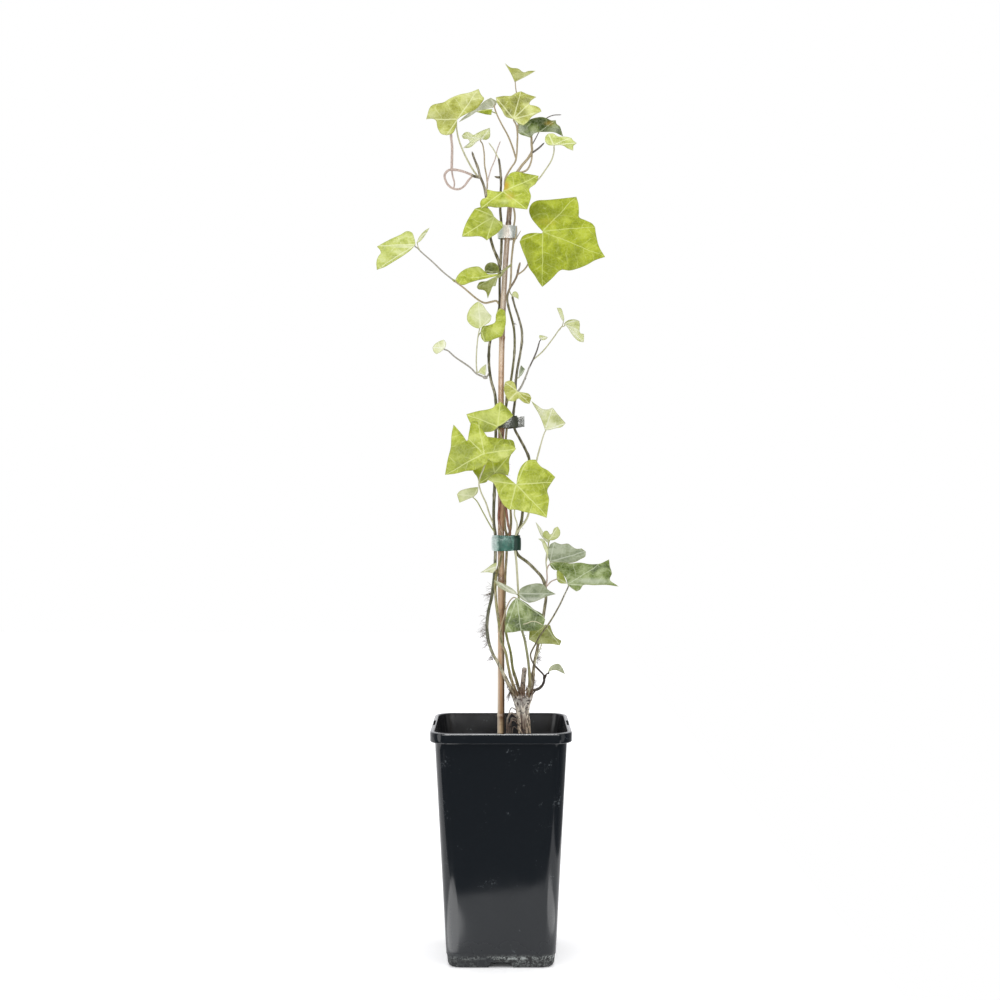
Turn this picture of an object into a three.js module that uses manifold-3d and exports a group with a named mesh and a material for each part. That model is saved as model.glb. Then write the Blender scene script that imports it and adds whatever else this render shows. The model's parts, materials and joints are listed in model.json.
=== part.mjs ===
// A young ivy tied to a bamboo cane in a tall square nursery pot. Millimetres, +Z up.
// The origin is the middle of the pot's resting face. The plant's best side looks along -Y.

import * as THREE from "three";
import { mergeVertices } from "three/addons/utils/BufferGeometryUtils.js";
import Module from "manifold-3d";

const wasm = await Module();
wasm.setup();

// ---- Driving dimensions -------------------------------------------------------------------

const POT_HEIGHT = 200;
const LIP_HALF = 60;
const LIP_HEIGHT = 9;
const LIP_INSIDE_HALF = 56.4;
const BODY_TOP_HALF = 56;
const BODY_FOOT_HALF = 46.6;
const FOOT_HALF = 45.4;
const FOOT_HEIGHT = 10;
const FLOOR_TOP = 8;
const WALL = 1.7;
const CORNER_TOP = 15;
const CORNER_FOOT = 12;
const CORNER_STEPS = 5;

const CHANNEL_HEIGHT = 5;
const CHANNEL_HALF_TOP = 8.5;
const CHANNEL_HALF_FOOT = 11.5;
const CHANNEL_INNER = 20;
const DRAIN_HOLE_RADIUS = 3.2;
const DRAIN_HOLE_AT = 29;

const SLOT_LENGTH = 26;
const SLOT_WIDTH = 1.8;
const SLOT_DEPTH = 4;

const SOIL_TOP = 176;
const GAP = 0.3;

const CANE_FOOT = 20;
const CANE_TOP = 668;
const CANE_FOOT_RADIUS = 3.25;
const CANE_TOP_RADIUS = 2.2;
const CANE_JOINTS = [96, 206, 325, 431, 537, 637];
const CANE_JOINT_SWELL = 0.35;
const CANE_SIDES = 12;

const BLADE_THICKNESS = 0.66;
const STEM_SIDES = 6;
const STALK_SIDES = 5;
const STEM_STEP = 9;
const TIE_WALL = 0.9;

// The plant is laid out in the upright plane through the pot's middle, as it is seen from an eye
// this far in front of the plane and this high above the floor. A place is [x, z, depth]: x and z
// in that plane, and how far behind it (+) or in front of it (-) the piece really lies.
const EYE_DISTANCE = 1250;
const EYE_HEIGHT = 395;

// ---- Colours ------------------------------------------------------------------------------

const finish = (color, roughness, metalness = 0) =>
  new THREE.MeshStandardMaterial({ color, roughness, metalness });

const FINISHES = {
  pot: finish("#1f2326", 0.38),
  soil: finish("#2a1f17", 0.95),
  cane: finish("#c09664", 0.6),
  tieGreen: finish("#2c6152", 0.45),
  tieDark: finish("#33392a", 0.5),
  tiePale: finish("#b9c0ba", 0.4),
  root: finish("#b6a48c", 0.85),
  greyStem: finish("#565d4a", 0.75),
  greenStem: finish("#7d8a4c", 0.65),
  brownStem: finish("#6b5a48", 0.8),
  bright: finish("#a9b93c", 0.5),
  pale: finish("#cfd98c", 0.55),
  deep: finish("#4f7a3a", 0.45),
  grey: finish("#8a9a7c", 0.5),
};

// ---- Helpers ------------------------------------------------------------------------------

/** The real place of a point [x, z, depth], on the line of sight that runs through x and z. */
function seen([x, z, depth = 0]) {
  const grow = 1 + depth / EYE_DISTANCE;
  return new THREE.Vector3(x * grow, depth, EYE_HEIGHT + (z - EYE_HEIGHT) * grow);
}

/** The place [x, z, depth] that a real point is seen at. */
function unseen(point) {
  const grow = 1 + point.y / EYE_DISTANCE;
  return [point.x / grow, EYE_HEIGHT + (point.z - EYE_HEIGHT) / grow, point.y];
}

/** Only the corners and triangles of a geometry, with shared corners merged. */
function bare(geometry) {
  const plain = geometry.clone();
  for (const name of Object.keys(plain.attributes)) {
    if (name !== "position") plain.deleteAttribute(name);
  }
  return mergeVertices(plain, 1e-4);
}

/** Six times the volume that the triangles enclose: negative when they face inwards. */
function signedVolume(positions, indices) {
  const [a, b, c] = [new THREE.Vector3(), new THREE.Vector3(), new THREE.Vector3()];
  let total = 0;
  for (let i = 0; i < indices.length; i += 3) {
    a.fromArray(positions, indices[i] * 3);
    b.fromArray(positions, indices[i + 1] * 3);
    c.fromArray(positions, indices[i + 2] * 3);
    total += a.dot(b.cross(c));
  }
  return total;
}

/** A closed geometry as a solid that can be joined and cut. */
function solid(geometry) {
  const { attributes, index } = bare(geometry);
  const vertProperties = Float32Array.from(attributes.position.array);
  const corners = Array.from(index.array);
  const triVerts = [];
  for (let i = 0; i < corners.length; i += 3) {
    const [a, b, c] = corners.slice(i, i + 3);
    if (a !== b && b !== c && a !== c) triVerts.push(a, b, c);
  }
  if (signedVolume(vertProperties, triVerts) < 0) triVerts.reverse();
  return new wasm.Manifold(
    new wasm.Mesh({ numProp: 3, vertProperties, triVerts: Uint32Array.from(triVerts) }),
  );
}

/** A solid as a geometry again. */
function geometryOf(body) {
  const { vertProperties, triVerts } = body.getMesh();
  const geometry = new THREE.BufferGeometry();
  geometry.setAttribute("position", new THREE.BufferAttribute(Float32Array.from(vertProperties), 3));
  geometry.setIndex(Array.from(triVerts));
  geometry.computeVertexNormals();
  return geometry;
}

const join = (bodies) => bodies.reduce((sum, body) => sum.add(body));

const plant = new THREE.Group();

function place(name, body, material) {
  const mesh = new THREE.Mesh(geometryOf(body), material);
  mesh.name = name;
  plant.add(mesh);
}

/** A closed skin through rings of equally many points, capped with a flat fan at both ends. */
function loft(rings) {
  const sides = rings[0].length;
  const middle = (ring) =>
    ring.reduce((sum, point) => sum.add(point), new THREE.Vector3()).divideScalar(sides);
  const points = [...rings.flat(), middle(rings[0]), middle(rings.at(-1))];
  const lastRing = (rings.length - 1) * sides;
  const [footMiddle, topMiddle] = [points.length - 2, points.length - 1];
  const index = [];
  for (let side = 0; side < sides; side += 1) {
    const next = (side + 1) % sides;
    for (let ring = 0; ring < lastRing; ring += sides) {
      index.push(ring + side, ring + next, ring + sides + next);
      index.push(ring + side, ring + sides + next, ring + sides + side);
    }
    index.push(footMiddle, next, side);
    index.push(topMiddle, lastRing + side, lastRing + next);
  }
  const geometry = new THREE.BufferGeometry().setFromPoints(points);
  geometry.setIndex(index);
  return geometry;
}

/** A square ring with round corners, as points at one height. */
function squareRing(half, corner, height) {
  const points = [];
  for (let quarter = 0; quarter < 4; quarter += 1) {
    for (let step = 0; step <= CORNER_STEPS; step += 1) {
      const turn = ((quarter + step / CORNER_STEPS) * Math.PI) / 2;
      const across = quarter === 0 || quarter === 3 ? half - corner : corner - half;
      const along = quarter < 2 ? half - corner : corner - half;
      points.push(
        new THREE.Vector3(across + corner * Math.cos(turn), along + corner * Math.sin(turn), height),
      );
    }
  }
  return points;
}

const squareLoft = (rows) => solid(loft(rows.map((row) => squareRing(...row))));

function box(width, depth, height, x, y, z) {
  return solid(new THREE.BoxGeometry(width, depth, height).translate(x, y, z));
}

/** A tube of one radius along a smooth curve through places [x, z, depth]. */
function tube(places, radius) {
  const path = new THREE.CatmullRomCurve3(places.map(seen), false, "centripetal");
  const thin = radius < 1;
  const sides = thin ? STALK_SIDES : STEM_SIDES;
  const section = new THREE.Shape(
    Array.from({ length: sides }, (_, side) => {
      const turn = (side / sides) * 2 * Math.PI;
      return new THREE.Vector2(radius * Math.cos(turn), radius * Math.sin(turn));
    }),
  );
  const steps = Math.max(2, Math.round(path.getLength() / STEM_STEP));
  return solid(new THREE.ExtrudeGeometry(section, { steps, bevelEnabled: false, extrudePath: path }));
}

// ---- Pot, soil and cane -------------------------------------------------------------------

/** Half the width of the body's outside at a height. */
function bodyHalf(height) {
  const rise = (height - FOOT_HEIGHT) / (POT_HEIGHT - LIP_HEIGHT - FOOT_HEIGHT);
  return BODY_FOOT_HALF + (BODY_TOP_HALF - BODY_FOOT_HALF) * rise;
}

/** Radius of the body's corners at a height. */
const bodyCorner = (height) => CORNER_FOOT + ((CORNER_TOP - CORNER_FOOT) * height) / POT_HEIGHT;

/** One ring of the wall, moved inwards. */
function wallRow(height, inwards = 0) {
  return [bodyHalf(height) - inwards, bodyCorner(height) - inwards, height];
}

function buildPot() {
  const lipFoot = POT_HEIGHT - LIP_HEIGHT;
  const outside = squareLoft([
    [FOOT_HALF - 2, CORNER_FOOT - 2, 0],
    [FOOT_HALF, CORNER_FOOT, 2.5],
    [FOOT_HALF + 0.6, CORNER_FOOT, FOOT_HEIGHT - 1.5],
    wallRow(FOOT_HEIGHT),
    wallRow(FOOT_HEIGHT + (lipFoot - FOOT_HEIGHT) / 2),
    wallRow(lipFoot),
    [LIP_HALF, CORNER_TOP + 3, lipFoot + 0.4],
    [LIP_HALF, CORNER_TOP + 3, POT_HEIGHT - 0.8],
    [LIP_HALF - 0.6, CORNER_TOP + 3, POT_HEIGHT],
  ]);
  const inside = squareLoft([
    wallRow(FLOOR_TOP, WALL),
    wallRow(lipFoot - 3, WALL),
    [LIP_INSIDE_HALF - 0.8, CORNER_TOP, lipFoot + 1.5],
    [LIP_INSIDE_HALF, CORNER_TOP, POT_HEIGHT - 1],
    [LIP_INSIDE_HALF, CORNER_TOP, POT_HEIGHT + 2],
  ]);
  let pot = outside.subtract(inside);
  const slotAt = (LIP_HALF + LIP_INSIDE_HALF) / 2;
  for (const side of [-1, 1]) {
    const z = POT_HEIGHT - SLOT_DEPTH / 2 + 1;
    pot = pot.subtract(box(SLOT_WIDTH, SLOT_LENGTH, SLOT_DEPTH + 2, side * slotAt, 0, z));
  }
  for (let quarter = 0; quarter < 4; quarter += 1) {
    pot = pot.subtract(drain((quarter * Math.PI) / 2));
  }
  return pot;
}

/** One drain channel under the floor, with its hole, turned about the pot's middle. */
function drain(turn) {
  const reach = BODY_FOOT_HALF + 4;
  const profile = new THREE.Shape([
    new THREE.Vector2(-CHANNEL_HALF_FOOT, -1),
    new THREE.Vector2(CHANNEL_HALF_FOOT, -1),
    new THREE.Vector2(CHANNEL_HALF_FOOT, 0),
    new THREE.Vector2(CHANNEL_HALF_TOP, CHANNEL_HEIGHT),
    new THREE.Vector2(-CHANNEL_HALF_TOP, CHANNEL_HEIGHT),
    new THREE.Vector2(-CHANNEL_HALF_FOOT, 0),
  ]);
  const channel = new THREE.ExtrudeGeometry(profile, {
    depth: reach - CHANNEL_INNER,
    bevelEnabled: false,
  });
  channel.rotateX(Math.PI / 2).translate(0, -CHANNEL_INNER, 0).rotateZ(turn);
  const hole = new THREE.CylinderGeometry(DRAIN_HOLE_RADIUS, DRAIN_HOLE_RADIUS, 12, 10);
  hole.rotateX(Math.PI / 2).translate(0, -DRAIN_HOLE_AT, FLOOR_TOP).rotateZ(turn);
  return solid(channel).add(solid(hole));
}

/** The cane's middle line: upright at first, then leaning to the right above the second tie. */
function caneMiddle(z) {
  const lean = Math.max(0, z - 480);
  return new THREE.Vector2(lean * lean * 0.000258 + lean * 0.0008, 0);
}

function caneRadius(z) {
  const rise = (z - CANE_FOOT) / (CANE_TOP - CANE_FOOT);
  return CANE_FOOT_RADIUS + (CANE_TOP_RADIUS - CANE_FOOT_RADIUS) * rise;
}

/** The cane, lathed about its axis and then leaned, with a slack all round for the soil's hole. */
function buildCane(slack = 0) {
  const profile = [new THREE.Vector2(0, CANE_FOOT - slack)];
  const add = (z, swell = 0) => profile.push(new THREE.Vector2(caneRadius(z) + swell + slack, z));
  add(CANE_FOOT - slack);
  for (const joint of CANE_JOINTS) {
    add(joint - 3);
    add(joint - 0.8, CANE_JOINT_SWELL);
    add(joint + 0.8, CANE_JOINT_SWELL);
    add(joint + 3, -0.1);
    if (joint > 500 && joint < 600) add(joint + 45);
  }
  add(CANE_TOP);
  profile.push(new THREE.Vector2(0, CANE_TOP));
  const cane = bare(new THREE.LatheGeometry(profile, CANE_SIDES).rotateX(Math.PI / 2));
  const at = cane.attributes.position;
  for (let i = 0; i < at.count; i += 1) {
    const middle = caneMiddle(at.getZ(i));
    at.setXY(i, at.getX(i) + middle.x, at.getY(i) + middle.y);
  }
  return solid(cane);
}

// ---- Root collar --------------------------------------------------------------------------

const COLLAR_TOP = 223;
const COLLAR_X = 18.8;
const COLLAR_ROWS = [
  // height, half width, half depth
  [150, 6.4, 6],
  [186, 6.6, 6],
  [200, 6.2, 5.6],
  [213, 6.6, 5.8],
  [219, 7.9, 6.6],
  [COLLAR_TOP, 9.1, 7],
];
const COLLAR_SIDES = 14;
const COLLAR_FLUTE = 0.5;
const STUB = [[19.3, 218], [19.2, 230], [20.1, 247.4]];
const BENT_ROOTS = [
  { radius: 0.9, places: [[13.5, 205, -2], [9, 209, -3.4], [6, 205, -4.4], [5.2, 194, -5], [5.4, 178, -5]] },
  { radius: 0.8, places: [[13.5, 202, 1], [10, 204, 1], [8.4, 197, 0], [8.6, 187, 0], [9.4, 178, 0]] },
];

function collarRing([height, halfWidth, halfDepth], slack = 0) {
  return Array.from({ length: COLLAR_SIDES }, (_, side) => {
    const turn = (side / COLLAR_SIDES) * 2 * Math.PI;
    const flute = (side % 2 ? -COLLAR_FLUTE : 0) + slack;
    return new THREE.Vector3(
      COLLAR_X + (halfWidth + flute) * Math.cos(turn),
      (halfDepth + flute) * Math.sin(turn),
      height,
    );
  });
}

function buildCollar() {
  const body = solid(loft(COLLAR_ROWS.map((row) => collarRing(row))));
  const roots = BENT_ROOTS.map(({ radius, places }) => tube(places, radius));
  return join([body, tube(STUB.map(([x, z]) => [x, z, 0]), 2.3), ...roots]);
}

/** The collar's sunk part, grown all round by the gap: its hole in the soil. */
function collarHole() {
  const [foot, ...rest] = COLLAR_ROWS;
  const rows = [[foot[0] - GAP, foot[1], foot[2]], ...rest];
  return solid(loft(rows.map((row) => collarRing(row, GAP))));
}

function buildSoil() {
  const inset = WALL + GAP;
  const body = squareLoft([
    wallRow(FLOOR_TOP + GAP, inset),
    wallRow(SOIL_TOP - 3, inset),
    [bodyHalf(SOIL_TOP) - inset - 4, bodyCorner(SOIL_TOP) - 4, SOIL_TOP],
  ]);
  return body.subtract(buildCane(GAP)).subtract(collarHole());
}

// ---- Ties ---------------------------------------------------------------------------------

/** A band of tape: an oval ring round the cane and the stems. */
function band({ x, y, halfWidth, halfDepth, foot, top }) {
  const oval = new THREE.Shape().absellipse(0, 0, halfWidth, halfDepth, 0, 2 * Math.PI, false, 0);
  const opening = new THREE.Path();
  opening.absellipse(0, 0, halfWidth - TIE_WALL, halfDepth - TIE_WALL, 0, 2 * Math.PI, true, 0);
  oval.holes.push(opening);
  const ring = new THREE.ExtrudeGeometry(oval, {
    depth: top - foot,
    bevelEnabled: false,
    curveSegments: 20,
  });
  return solid(ring.translate(x, y, foot));
}

const TIES = {
  tie_low: { x: 4.3, y: 0, halfWidth: 13.2, halfDepth: 9.3, foot: 350.8, top: 364 },
  tie_mid: { x: 3.4, y: 0, halfWidth: 11.4, halfDepth: 8.3, foot: 458, top: 468.6 },
  tie_top: { x: 5.5, y: 0, halfWidth: 8.9, halfDepth: 6.6, foot: 623.6, top: 634.8 },
};
const TIE_FLAG = { width: 6.4, depth: 0.9, height: 10, x: 17.2, y: 0, z: 463.3, turn: 0.1 };

/** The middle tie's loose end, standing out to the right. */
function tieFlag() {
  const { width, depth, height, x, y, z, turn } = TIE_FLAG;
  return solid(new THREE.BoxGeometry(width, depth, height).rotateY(turn).translate(x, y, z));
}

// ---- Leaves -------------------------------------------------------------------------------
// Each blade is drawn by its edge, from the stalk's end round and back, as [x, z] places; a third
// number marks a corner or lobe tip. `depth` is the blade's depth at the stalk, `lean` is how
// much deeper it gets for each millimetre to the right and upwards, and `fold` lifts both halves
// away from the midrib, which runs from the stalk through `middle`.

const TIP = 1;

const LEAVES = {
  leaf_01: {
    look: "grey", depth: 8, lean: [0.1, -1.2], fold: 0.2, middle: [14, 766],
    edge: [[12, 760.8], [20, 764.8], [30, 770.6, TIP], [24, 770.4], [20, 769.2], [15, 772.4],
      [8.5, 773.2], [3.5, 777, TIP], [9, 767.5]],
  },
  leaf_02: {
    look: "bright", depth: -18, lean: [0.1, 0.6], fold: 0.15, middle: [-42, 732],
    edge: [[-38.3, 728], [-34.5, 731], [-27, 734.8], [-21, 738], [-18, 741.5], [-14.8, 746.5],
      [-17.5, 750], [-19.6, 754.8, TIP], [-27, 752], [-36, 750.3], [-44, 747], [-50, 743.3],
      [-61, 740.2], [-65.5, 728.5, TIP], [-60, 729], [-57, 727.5], [-55.5, 721], [-52.5, 716],
      [-47.5, 714.7, TIP], [-42, 716.5], [-39.5, 721.5]],
  },
  leaf_03: {
    look: "bright", depth: -16, lean: [0.1, 0.8], fold: 0.1, middle: [14, 738],
    edge: [[11, 728.5], [4, 731], [0.5, 737], [-3.5, 743], [-4.5, 747.6, TIP], [2, 748.8],
      [9, 749], [13, 751.5], [17.5, 753, TIP], [24, 750.2], [30.8, 748, TIP], [26, 744.5],
      [25, 741.5], [30.5, 740], [34, 738], [35.4, 735.4, TIP], [31, 733.4], [27, 731], [24, 727],
      [19.8, 723.3, TIP], [15, 724.8]],
  },
  leaf_04: {
    look: "grey", depth: 28, lean: [-0.2, -0.8], fold: 0, middle: [-19, 737],
    edge: [[-4.5, 741], [-3.2, 743.8, TIP], [-9, 747, TIP], [-14, 744.3], [-18, 741],
      [-25, 735.8], [-33, 729.8], [-37, 725.5, TIP], [-28, 730.3], [-21, 735], [-12, 737.5],
      [-6, 739]],
  },
  leaf_05: {
    look: "bright", depth: 20, lean: [0, 0.5], fold: 0, middle: [-11, 735],
    edge: [[-7.5, 737], [-8.5, 732.2, TIP], [-13, 732.6], [-21.5, 734.8, TIP], [-14, 736.8]],
  },
  leaf_06: {
    look: "deep", depth: 25, lean: [0, -0.8], fold: -0.15, middle: [34, 725],
    edge: [[26.2, 712], [28.5, 715.5], [33, 717], [38.5, 717.3], [45, 717.2], [49, 716.2],
      [54.3, 713.3, TIP], [53, 718], [51.5, 722], [48.5, 724.5], [48, 727.4, TIP], [44, 727.2],
      [40.5, 728.8], [36, 730], [29, 729], [22.5, 726.5], [16.5, 724], [13, 722, TIP],
      [13.8, 718], [17, 715], [22, 713.5]],
  },
  leaf_07: {
    look: "pale", depth: -16, lean: [0.1, 0.9], fold: 0.1, middle: [50, 709.5],
    edge: [[46, 705.4], [41.5, 706], [38.8, 709], [39, 713.5], [41.5, 716, TIP], [46, 715.8],
      [50, 713.2], [56, 713.3], [61.5, 712.3, TIP], [63.5, 709.8], [66.3, 707.8, TIP],
      [63.5, 705.5], [63.3, 701.3, TIP], [58.5, 703], [54, 705.6], [50, 705.8]],
  },
  leaf_08: {
    look: "pale", depth: 7, lean: [0, 0.7], fold: 0, middle: [-22, 712],
    edge: [[-17, 710.8], [-12.5, 710.6], [-9.8, 713], [-9.7, 720.8, TIP], [-15, 719],
      [-21, 716.2], [-24, 714.6], [-27.5, 716.8], [-31, 717.2], [-34.3, 714, TIP], [-33, 711.5],
      [-28.8, 711], [-27.5, 708], [-33, 703.2, TIP], [-27, 703.8], [-22.5, 707.5], [-20, 709.5]],
  },
  leaf_09: {
    look: "bright", depth: -22, lean: [0.1, 0.6], fold: 0.1, middle: [5, 660],
    edge: [[1.8, 664.8], [3.2, 671], [4.5, 676.5], [8, 681], [13, 682.6], [21, 681],
      [33, 678.6, TIP], [30.5, 672], [24.8, 667.3], [26.2, 661], [24.8, 655], [23, 649.6, TIP],
      [15, 650.6], [5, 651.6], [-4, 651], [-11, 652], [-17.5, 650.4, TIP], [-18.3, 655],
      [-16.5, 658.5], [-12.6, 660], [-12.4, 667, TIP], [-6, 665.3]],
  },
  leaf_10: {
    look: "bright", depth: -19, lean: [-0.05, 0.6], fold: 0.1, middle: [-11, 638],
    edge: [[-6, 643], [-2, 639.5], [1.2, 638], [1.6, 633.8, TIP], [-4, 628], [-8, 625.5],
      [-12.5, 622.3, TIP], [-16, 625], [-20, 626], [-27, 625.8], [-34.2, 625.8, TIP],
      [-33, 631], [-30.5, 637.5], [-27, 644], [-23, 650, TIP], [-17, 651.5], [-11, 650.5, TIP],
      [-8, 647]],
  },
  leaf_11: {
    look: "bright", depth: -15, lean: [-0.15, 0.45], fold: 0.08, middle: [45, 624],
    edge: [[36.5, 630], [31, 636], [26.5, 642], [24.6, 648.5], [26.5, 654], [31, 657],
      [40, 657.8], [53, 659], [66, 660.6, TIP], [67.8, 654], [68.2, 647], [68.4, 642.6],
      [74, 640], [80, 637], [82.3, 634, TIP], [83.3, 627], [86, 616.5], [91, 608, TIP],
      [82, 604.8], [75, 601], [67, 597.8], [60, 596], [52.5, 596.5], [45, 589.5], [40, 585],
      [36, 581.8, TIP], [32.5, 586.5], [29.5, 591.5], [24.5, 598.5], [22, 606], [19, 613],
      [16.2, 621.3, TIP], [19, 626], [24, 628.3], [31, 628.8], [36, 628.6]],
  },
  leaf_12: {
    look: "bright", depth: 33, lean: [-0.2, 0.6], fold: 0.2, middle: [-92, 615],
    edge: [[-74.8, 618.6], [-75.8, 624], [-78, 629.3], [-82.5, 630.6], [-88, 627.6],
      [-96, 624], [-103, 620.3], [-108.6, 617.2, TIP], [-106, 614], [-105.2, 611.3],
      [-107.5, 608], [-109, 603], [-108.6, 596.5, TIP], [-102, 599], [-93, 604.5],
      [-85, 609.5], [-79, 614]],
  },
  leaf_13: {
    look: "pale", depth: 31, lean: [0, 0], fold: 0, middle: [-69, 625.2],
    edge: [[-74, 619.8], [-71, 621.2], [-66, 627.4], [-62.5, 633.5, TIP], [-66.8, 630.8],
      [-71.5, 625.4]],
  },
  leaf_14: {
    look: "bright", depth: -15, lean: [0.1, 1.3], fold: 0, middle: [-22, 592],
    edge: [[-1, 592.6], [-6, 592.7], [-11.5, 593.1], [-15.5, 596.8], [-19.5, 599.6], [-26, 599],
      [-32, 596.8], [-37, 592.8], [-40, 588, TIP], [-37.5, 585], [-33, 583.3], [-27, 585.6],
      [-19, 588], [-9, 590.2], [-3, 591.5]],
  },
  leaf_15: {
    look: "deep", depth: -10, lean: [0, 0.6], fold: 0, middle: [-8, 597],
    edge: [[-1.8, 594.2], [-1.9, 598], [-4, 601.5], [-8, 603], [-12, 602], [-14.2, 598.8],
      [-14, 594.5, TIP], [-11, 593.4], [-6, 593.3]],
  },
  leaf_16: {
    look: "grey", depth: -10, lean: [0, 0.3], fold: 0, middle: [-11, 583],
    edge: [[-2.3, 591.5], [-9, 588.5], [-12.5, 586.6], [-18.6, 585.6], [-21.2, 581.5, TIP],
      [-20, 579.6], [-15, 578.7], [-13, 576.8], [-11.6, 571.3, TIP], [-9.3, 577], [-7, 582.2],
      [-4.8, 582.2, TIP], [-3.8, 586]],
  },
  leaf_17: {
    look: "pale", depth: -22, lean: [0.1, 0.1], fold: 0.5, middle: [-20, 556],
    edge: [[-18, 545.5], [-20.5, 545.2], [-26, 547.8], [-29.4, 552], [-29.8, 556],
      [-28, 561.5], [-24.3, 566], [-20, 568.8, TIP], [-16, 566], [-12.4, 560.5],
      [-8.4, 556, TIP], [-9.5, 551.5], [-14, 548]],
  },
  leaf_18: {
    look: "bright", depth: -13, lean: [0, 0.1], fold: 0.1, middle: [-3, 546],
    edge: [[-17.8, 543], [-16, 546.8], [-10, 548.2], [-5, 550.8], [-4.5, 556], [-3, 561],
      [-1, 563, TIP], [3, 561], [4.2, 555], [4, 549], [2.5, 543], [0.5, 538.3], [-3, 537],
      [-7, 535.5], [-10.5, 533.8], [-14.5, 533.3, TIP], [-17.3, 537]],
  },
  leaf_19: {
    look: "pale", depth: 27, lean: [-0.1, 0.5], fold: 0.1, middle: [65.5, 540.5],
    edge: [[55, 549.3], [57.5, 551.5], [60.5, 552.8], [64.5, 553], [68.5, 551.7, TIP],
      [69, 548], [68.7, 544], [69.5, 541], [72.5, 540.5, TIP], [72.6, 536], [72.3, 533.2, TIP],
      [68.5, 534], [65.5, 536], [62, 540], [59, 545], [57, 547.5]],
  },
  leaf_20: {
    look: "pale", depth: 29, lean: [0, 0], fold: 0, middle: [53.2, 556],
    edge: [[55, 550.8], [53, 553], [50.8, 558], [48.8, 563.2, TIP], [52.5, 562.8], [54.3, 558],
      [55.3, 554]],
  },
  leaf_21: {
    look: "pale", depth: -21, lean: [0.1, 0.4], fold: 0, middle: [-54, 529],
    edge: [[-49, 528], [-48, 532], [-49.8, 535.4, TIP], [-54, 534], [-58, 531.3],
      [-60, 528.5, TIP], [-59, 525], [-56.5, 522.8, TIP], [-53, 524.5]],
  },
  leaf_22: {
    look: "pale", depth: 8, lean: [0, 0.5], fold: 0, middle: [37, 537],
    edge: [[34, 536], [33.5, 539], [37, 538.8], [41, 537.5, TIP], [39, 535.6], [36.5, 535]],
  },
  leaf_23: {
    look: "bright", depth: -12, lean: [0.05, 0.5], fold: 0.1, middle: [13, 486.5],
    edge: [[14.5, 490], [13.5, 492.5], [11.5, 498], [8, 499.6], [3.5, 498.3, TIP], [2.6, 492],
      [4, 486.5], [6.5, 482, TIP], [12, 481.6], [15.5, 484], [20, 480.6], [25, 479.3, TIP],
      [26.6, 484.5, TIP], [24.5, 488], [19, 489.2]],
  },
  leaf_24: {
    look: "pale", depth: 17, lean: [-0.1, 0.4], fold: 0.15, middle: [41, 465],
    edge: [[38.6, 455.8], [36.3, 463], [32.5, 471.5], [28.5, 478], [26.5, 481.8, TIP],
      [31.5, 478], [36.5, 474.8], [41, 474.5], [45.2, 476, TIP], [49.5, 470.5],
      [56.6, 462.3, TIP], [53, 459], [47.5, 457.8], [43, 456.5]],
  },
  leaf_25: {
    look: "bright", depth: -19, lean: [0, 0.3], fold: 0.1, middle: [-8, 465],
    edge: [[-2.8, 459.2], [1, 461], [5.5, 464.3], [10.6, 468.7, TIP], [8, 473], [4, 477.2],
      [-0.5, 481.2, TIP], [-4, 479], [-7, 475.8], [-12, 474.2], [-20, 473],
      [-30.4, 470.2, TIP], [-28, 464.5], [-26, 461], [-22, 457], [-17, 454.8], [-12, 454.4],
      [-6.5, 455.5]],
  },
  leaf_26: {
    look: "bright", depth: -38, lean: [0, 0.2], fold: 0.08, middle: [-24, 436],
    edge: [[-11.5, 430.5], [-4.5, 427.8], [3, 431], [9, 435], [13.2, 440, TIP], [9.5, 443.2],
      [4, 444.6], [-1, 443.5], [-5, 442.8], [-9, 446], [-12.5, 451], [-16.5, 457],
      [-20.5, 464, TIP], [-25.5, 463.5], [-27.8, 455], [-29.8, 446.8], [-34.5, 453],
      [-41.5, 461.2, TIP], [-43.3, 452], [-44, 441], [-46.5, 431], [-49, 417, TIP],
      [-40, 418], [-31, 420.3], [-24, 421], [-17, 424], [-12.5, 427]],
  },
  leaf_27: {
    look: "bright", depth: -24, lean: [0, 0.15], fold: 0.05, middle: [-7, 430],
    edge: [[-5.5, 418.5], [0, 418.3], [6, 416.3, TIP], [7.3, 421], [7.2, 430], [9.5, 436],
      [12.5, 441, TIP], [10.5, 447], [3, 448.4], [-5, 449.5], [-12, 450.5, TIP], [-22, 440],
      [-24, 428], [-24.5, 420.5], [-20.8, 415], [-19.5, 409.2, TIP], [-12.5, 411],
      [-10.5, 415]],
  },
  leaf_28: {
    look: "bright", depth: -32, lean: [0, 0.35], fold: 0.1, middle: [17, 403],
    edge: [[13.4, 408.6], [15, 418], [18.5, 425.5], [24, 430], [30.3, 430.5, TIP],
      [35, 424.5], [41, 421], [47.5, 415, TIP], [43.5, 409], [40.5, 403.5], [42, 396],
      [41, 387], [40, 379.5, TIP], [31, 382.5], [21, 384.5], [13, 386.5], [7, 386.5, TIP],
      [2, 391], [-2, 399], [-4.5, 406], [-7, 410.2], [-12.5, 413, TIP], [-8, 417],
      [-3, 418.5], [3, 417], [8, 413]],
  },
  leaf_29: {
    look: "pale", depth: -17, lean: [0, 0.5], fold: 0.1, middle: [-29, 400],
    edge: [[-23.6, 398], [-20.5, 401.5], [-19.8, 406.3, TIP], [-28, 405.4], [-36, 403],
      [-38.6, 400, TIP], [-36.4, 392.8, TIP], [-30, 395.4]],
  },
  leaf_30: {
    look: "pale", depth: 4, lean: [0, 0.1], fold: 0, middle: [36, 366],
    edge: [[42, 356.8], [38.5, 359.5], [35, 364], [32.5, 369.5], [30.4, 375.7, TIP],
      [34.5, 371], [37, 366.5], [40, 362.5], [42.8, 359.3]],
  },
  leaf_31: {
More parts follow.
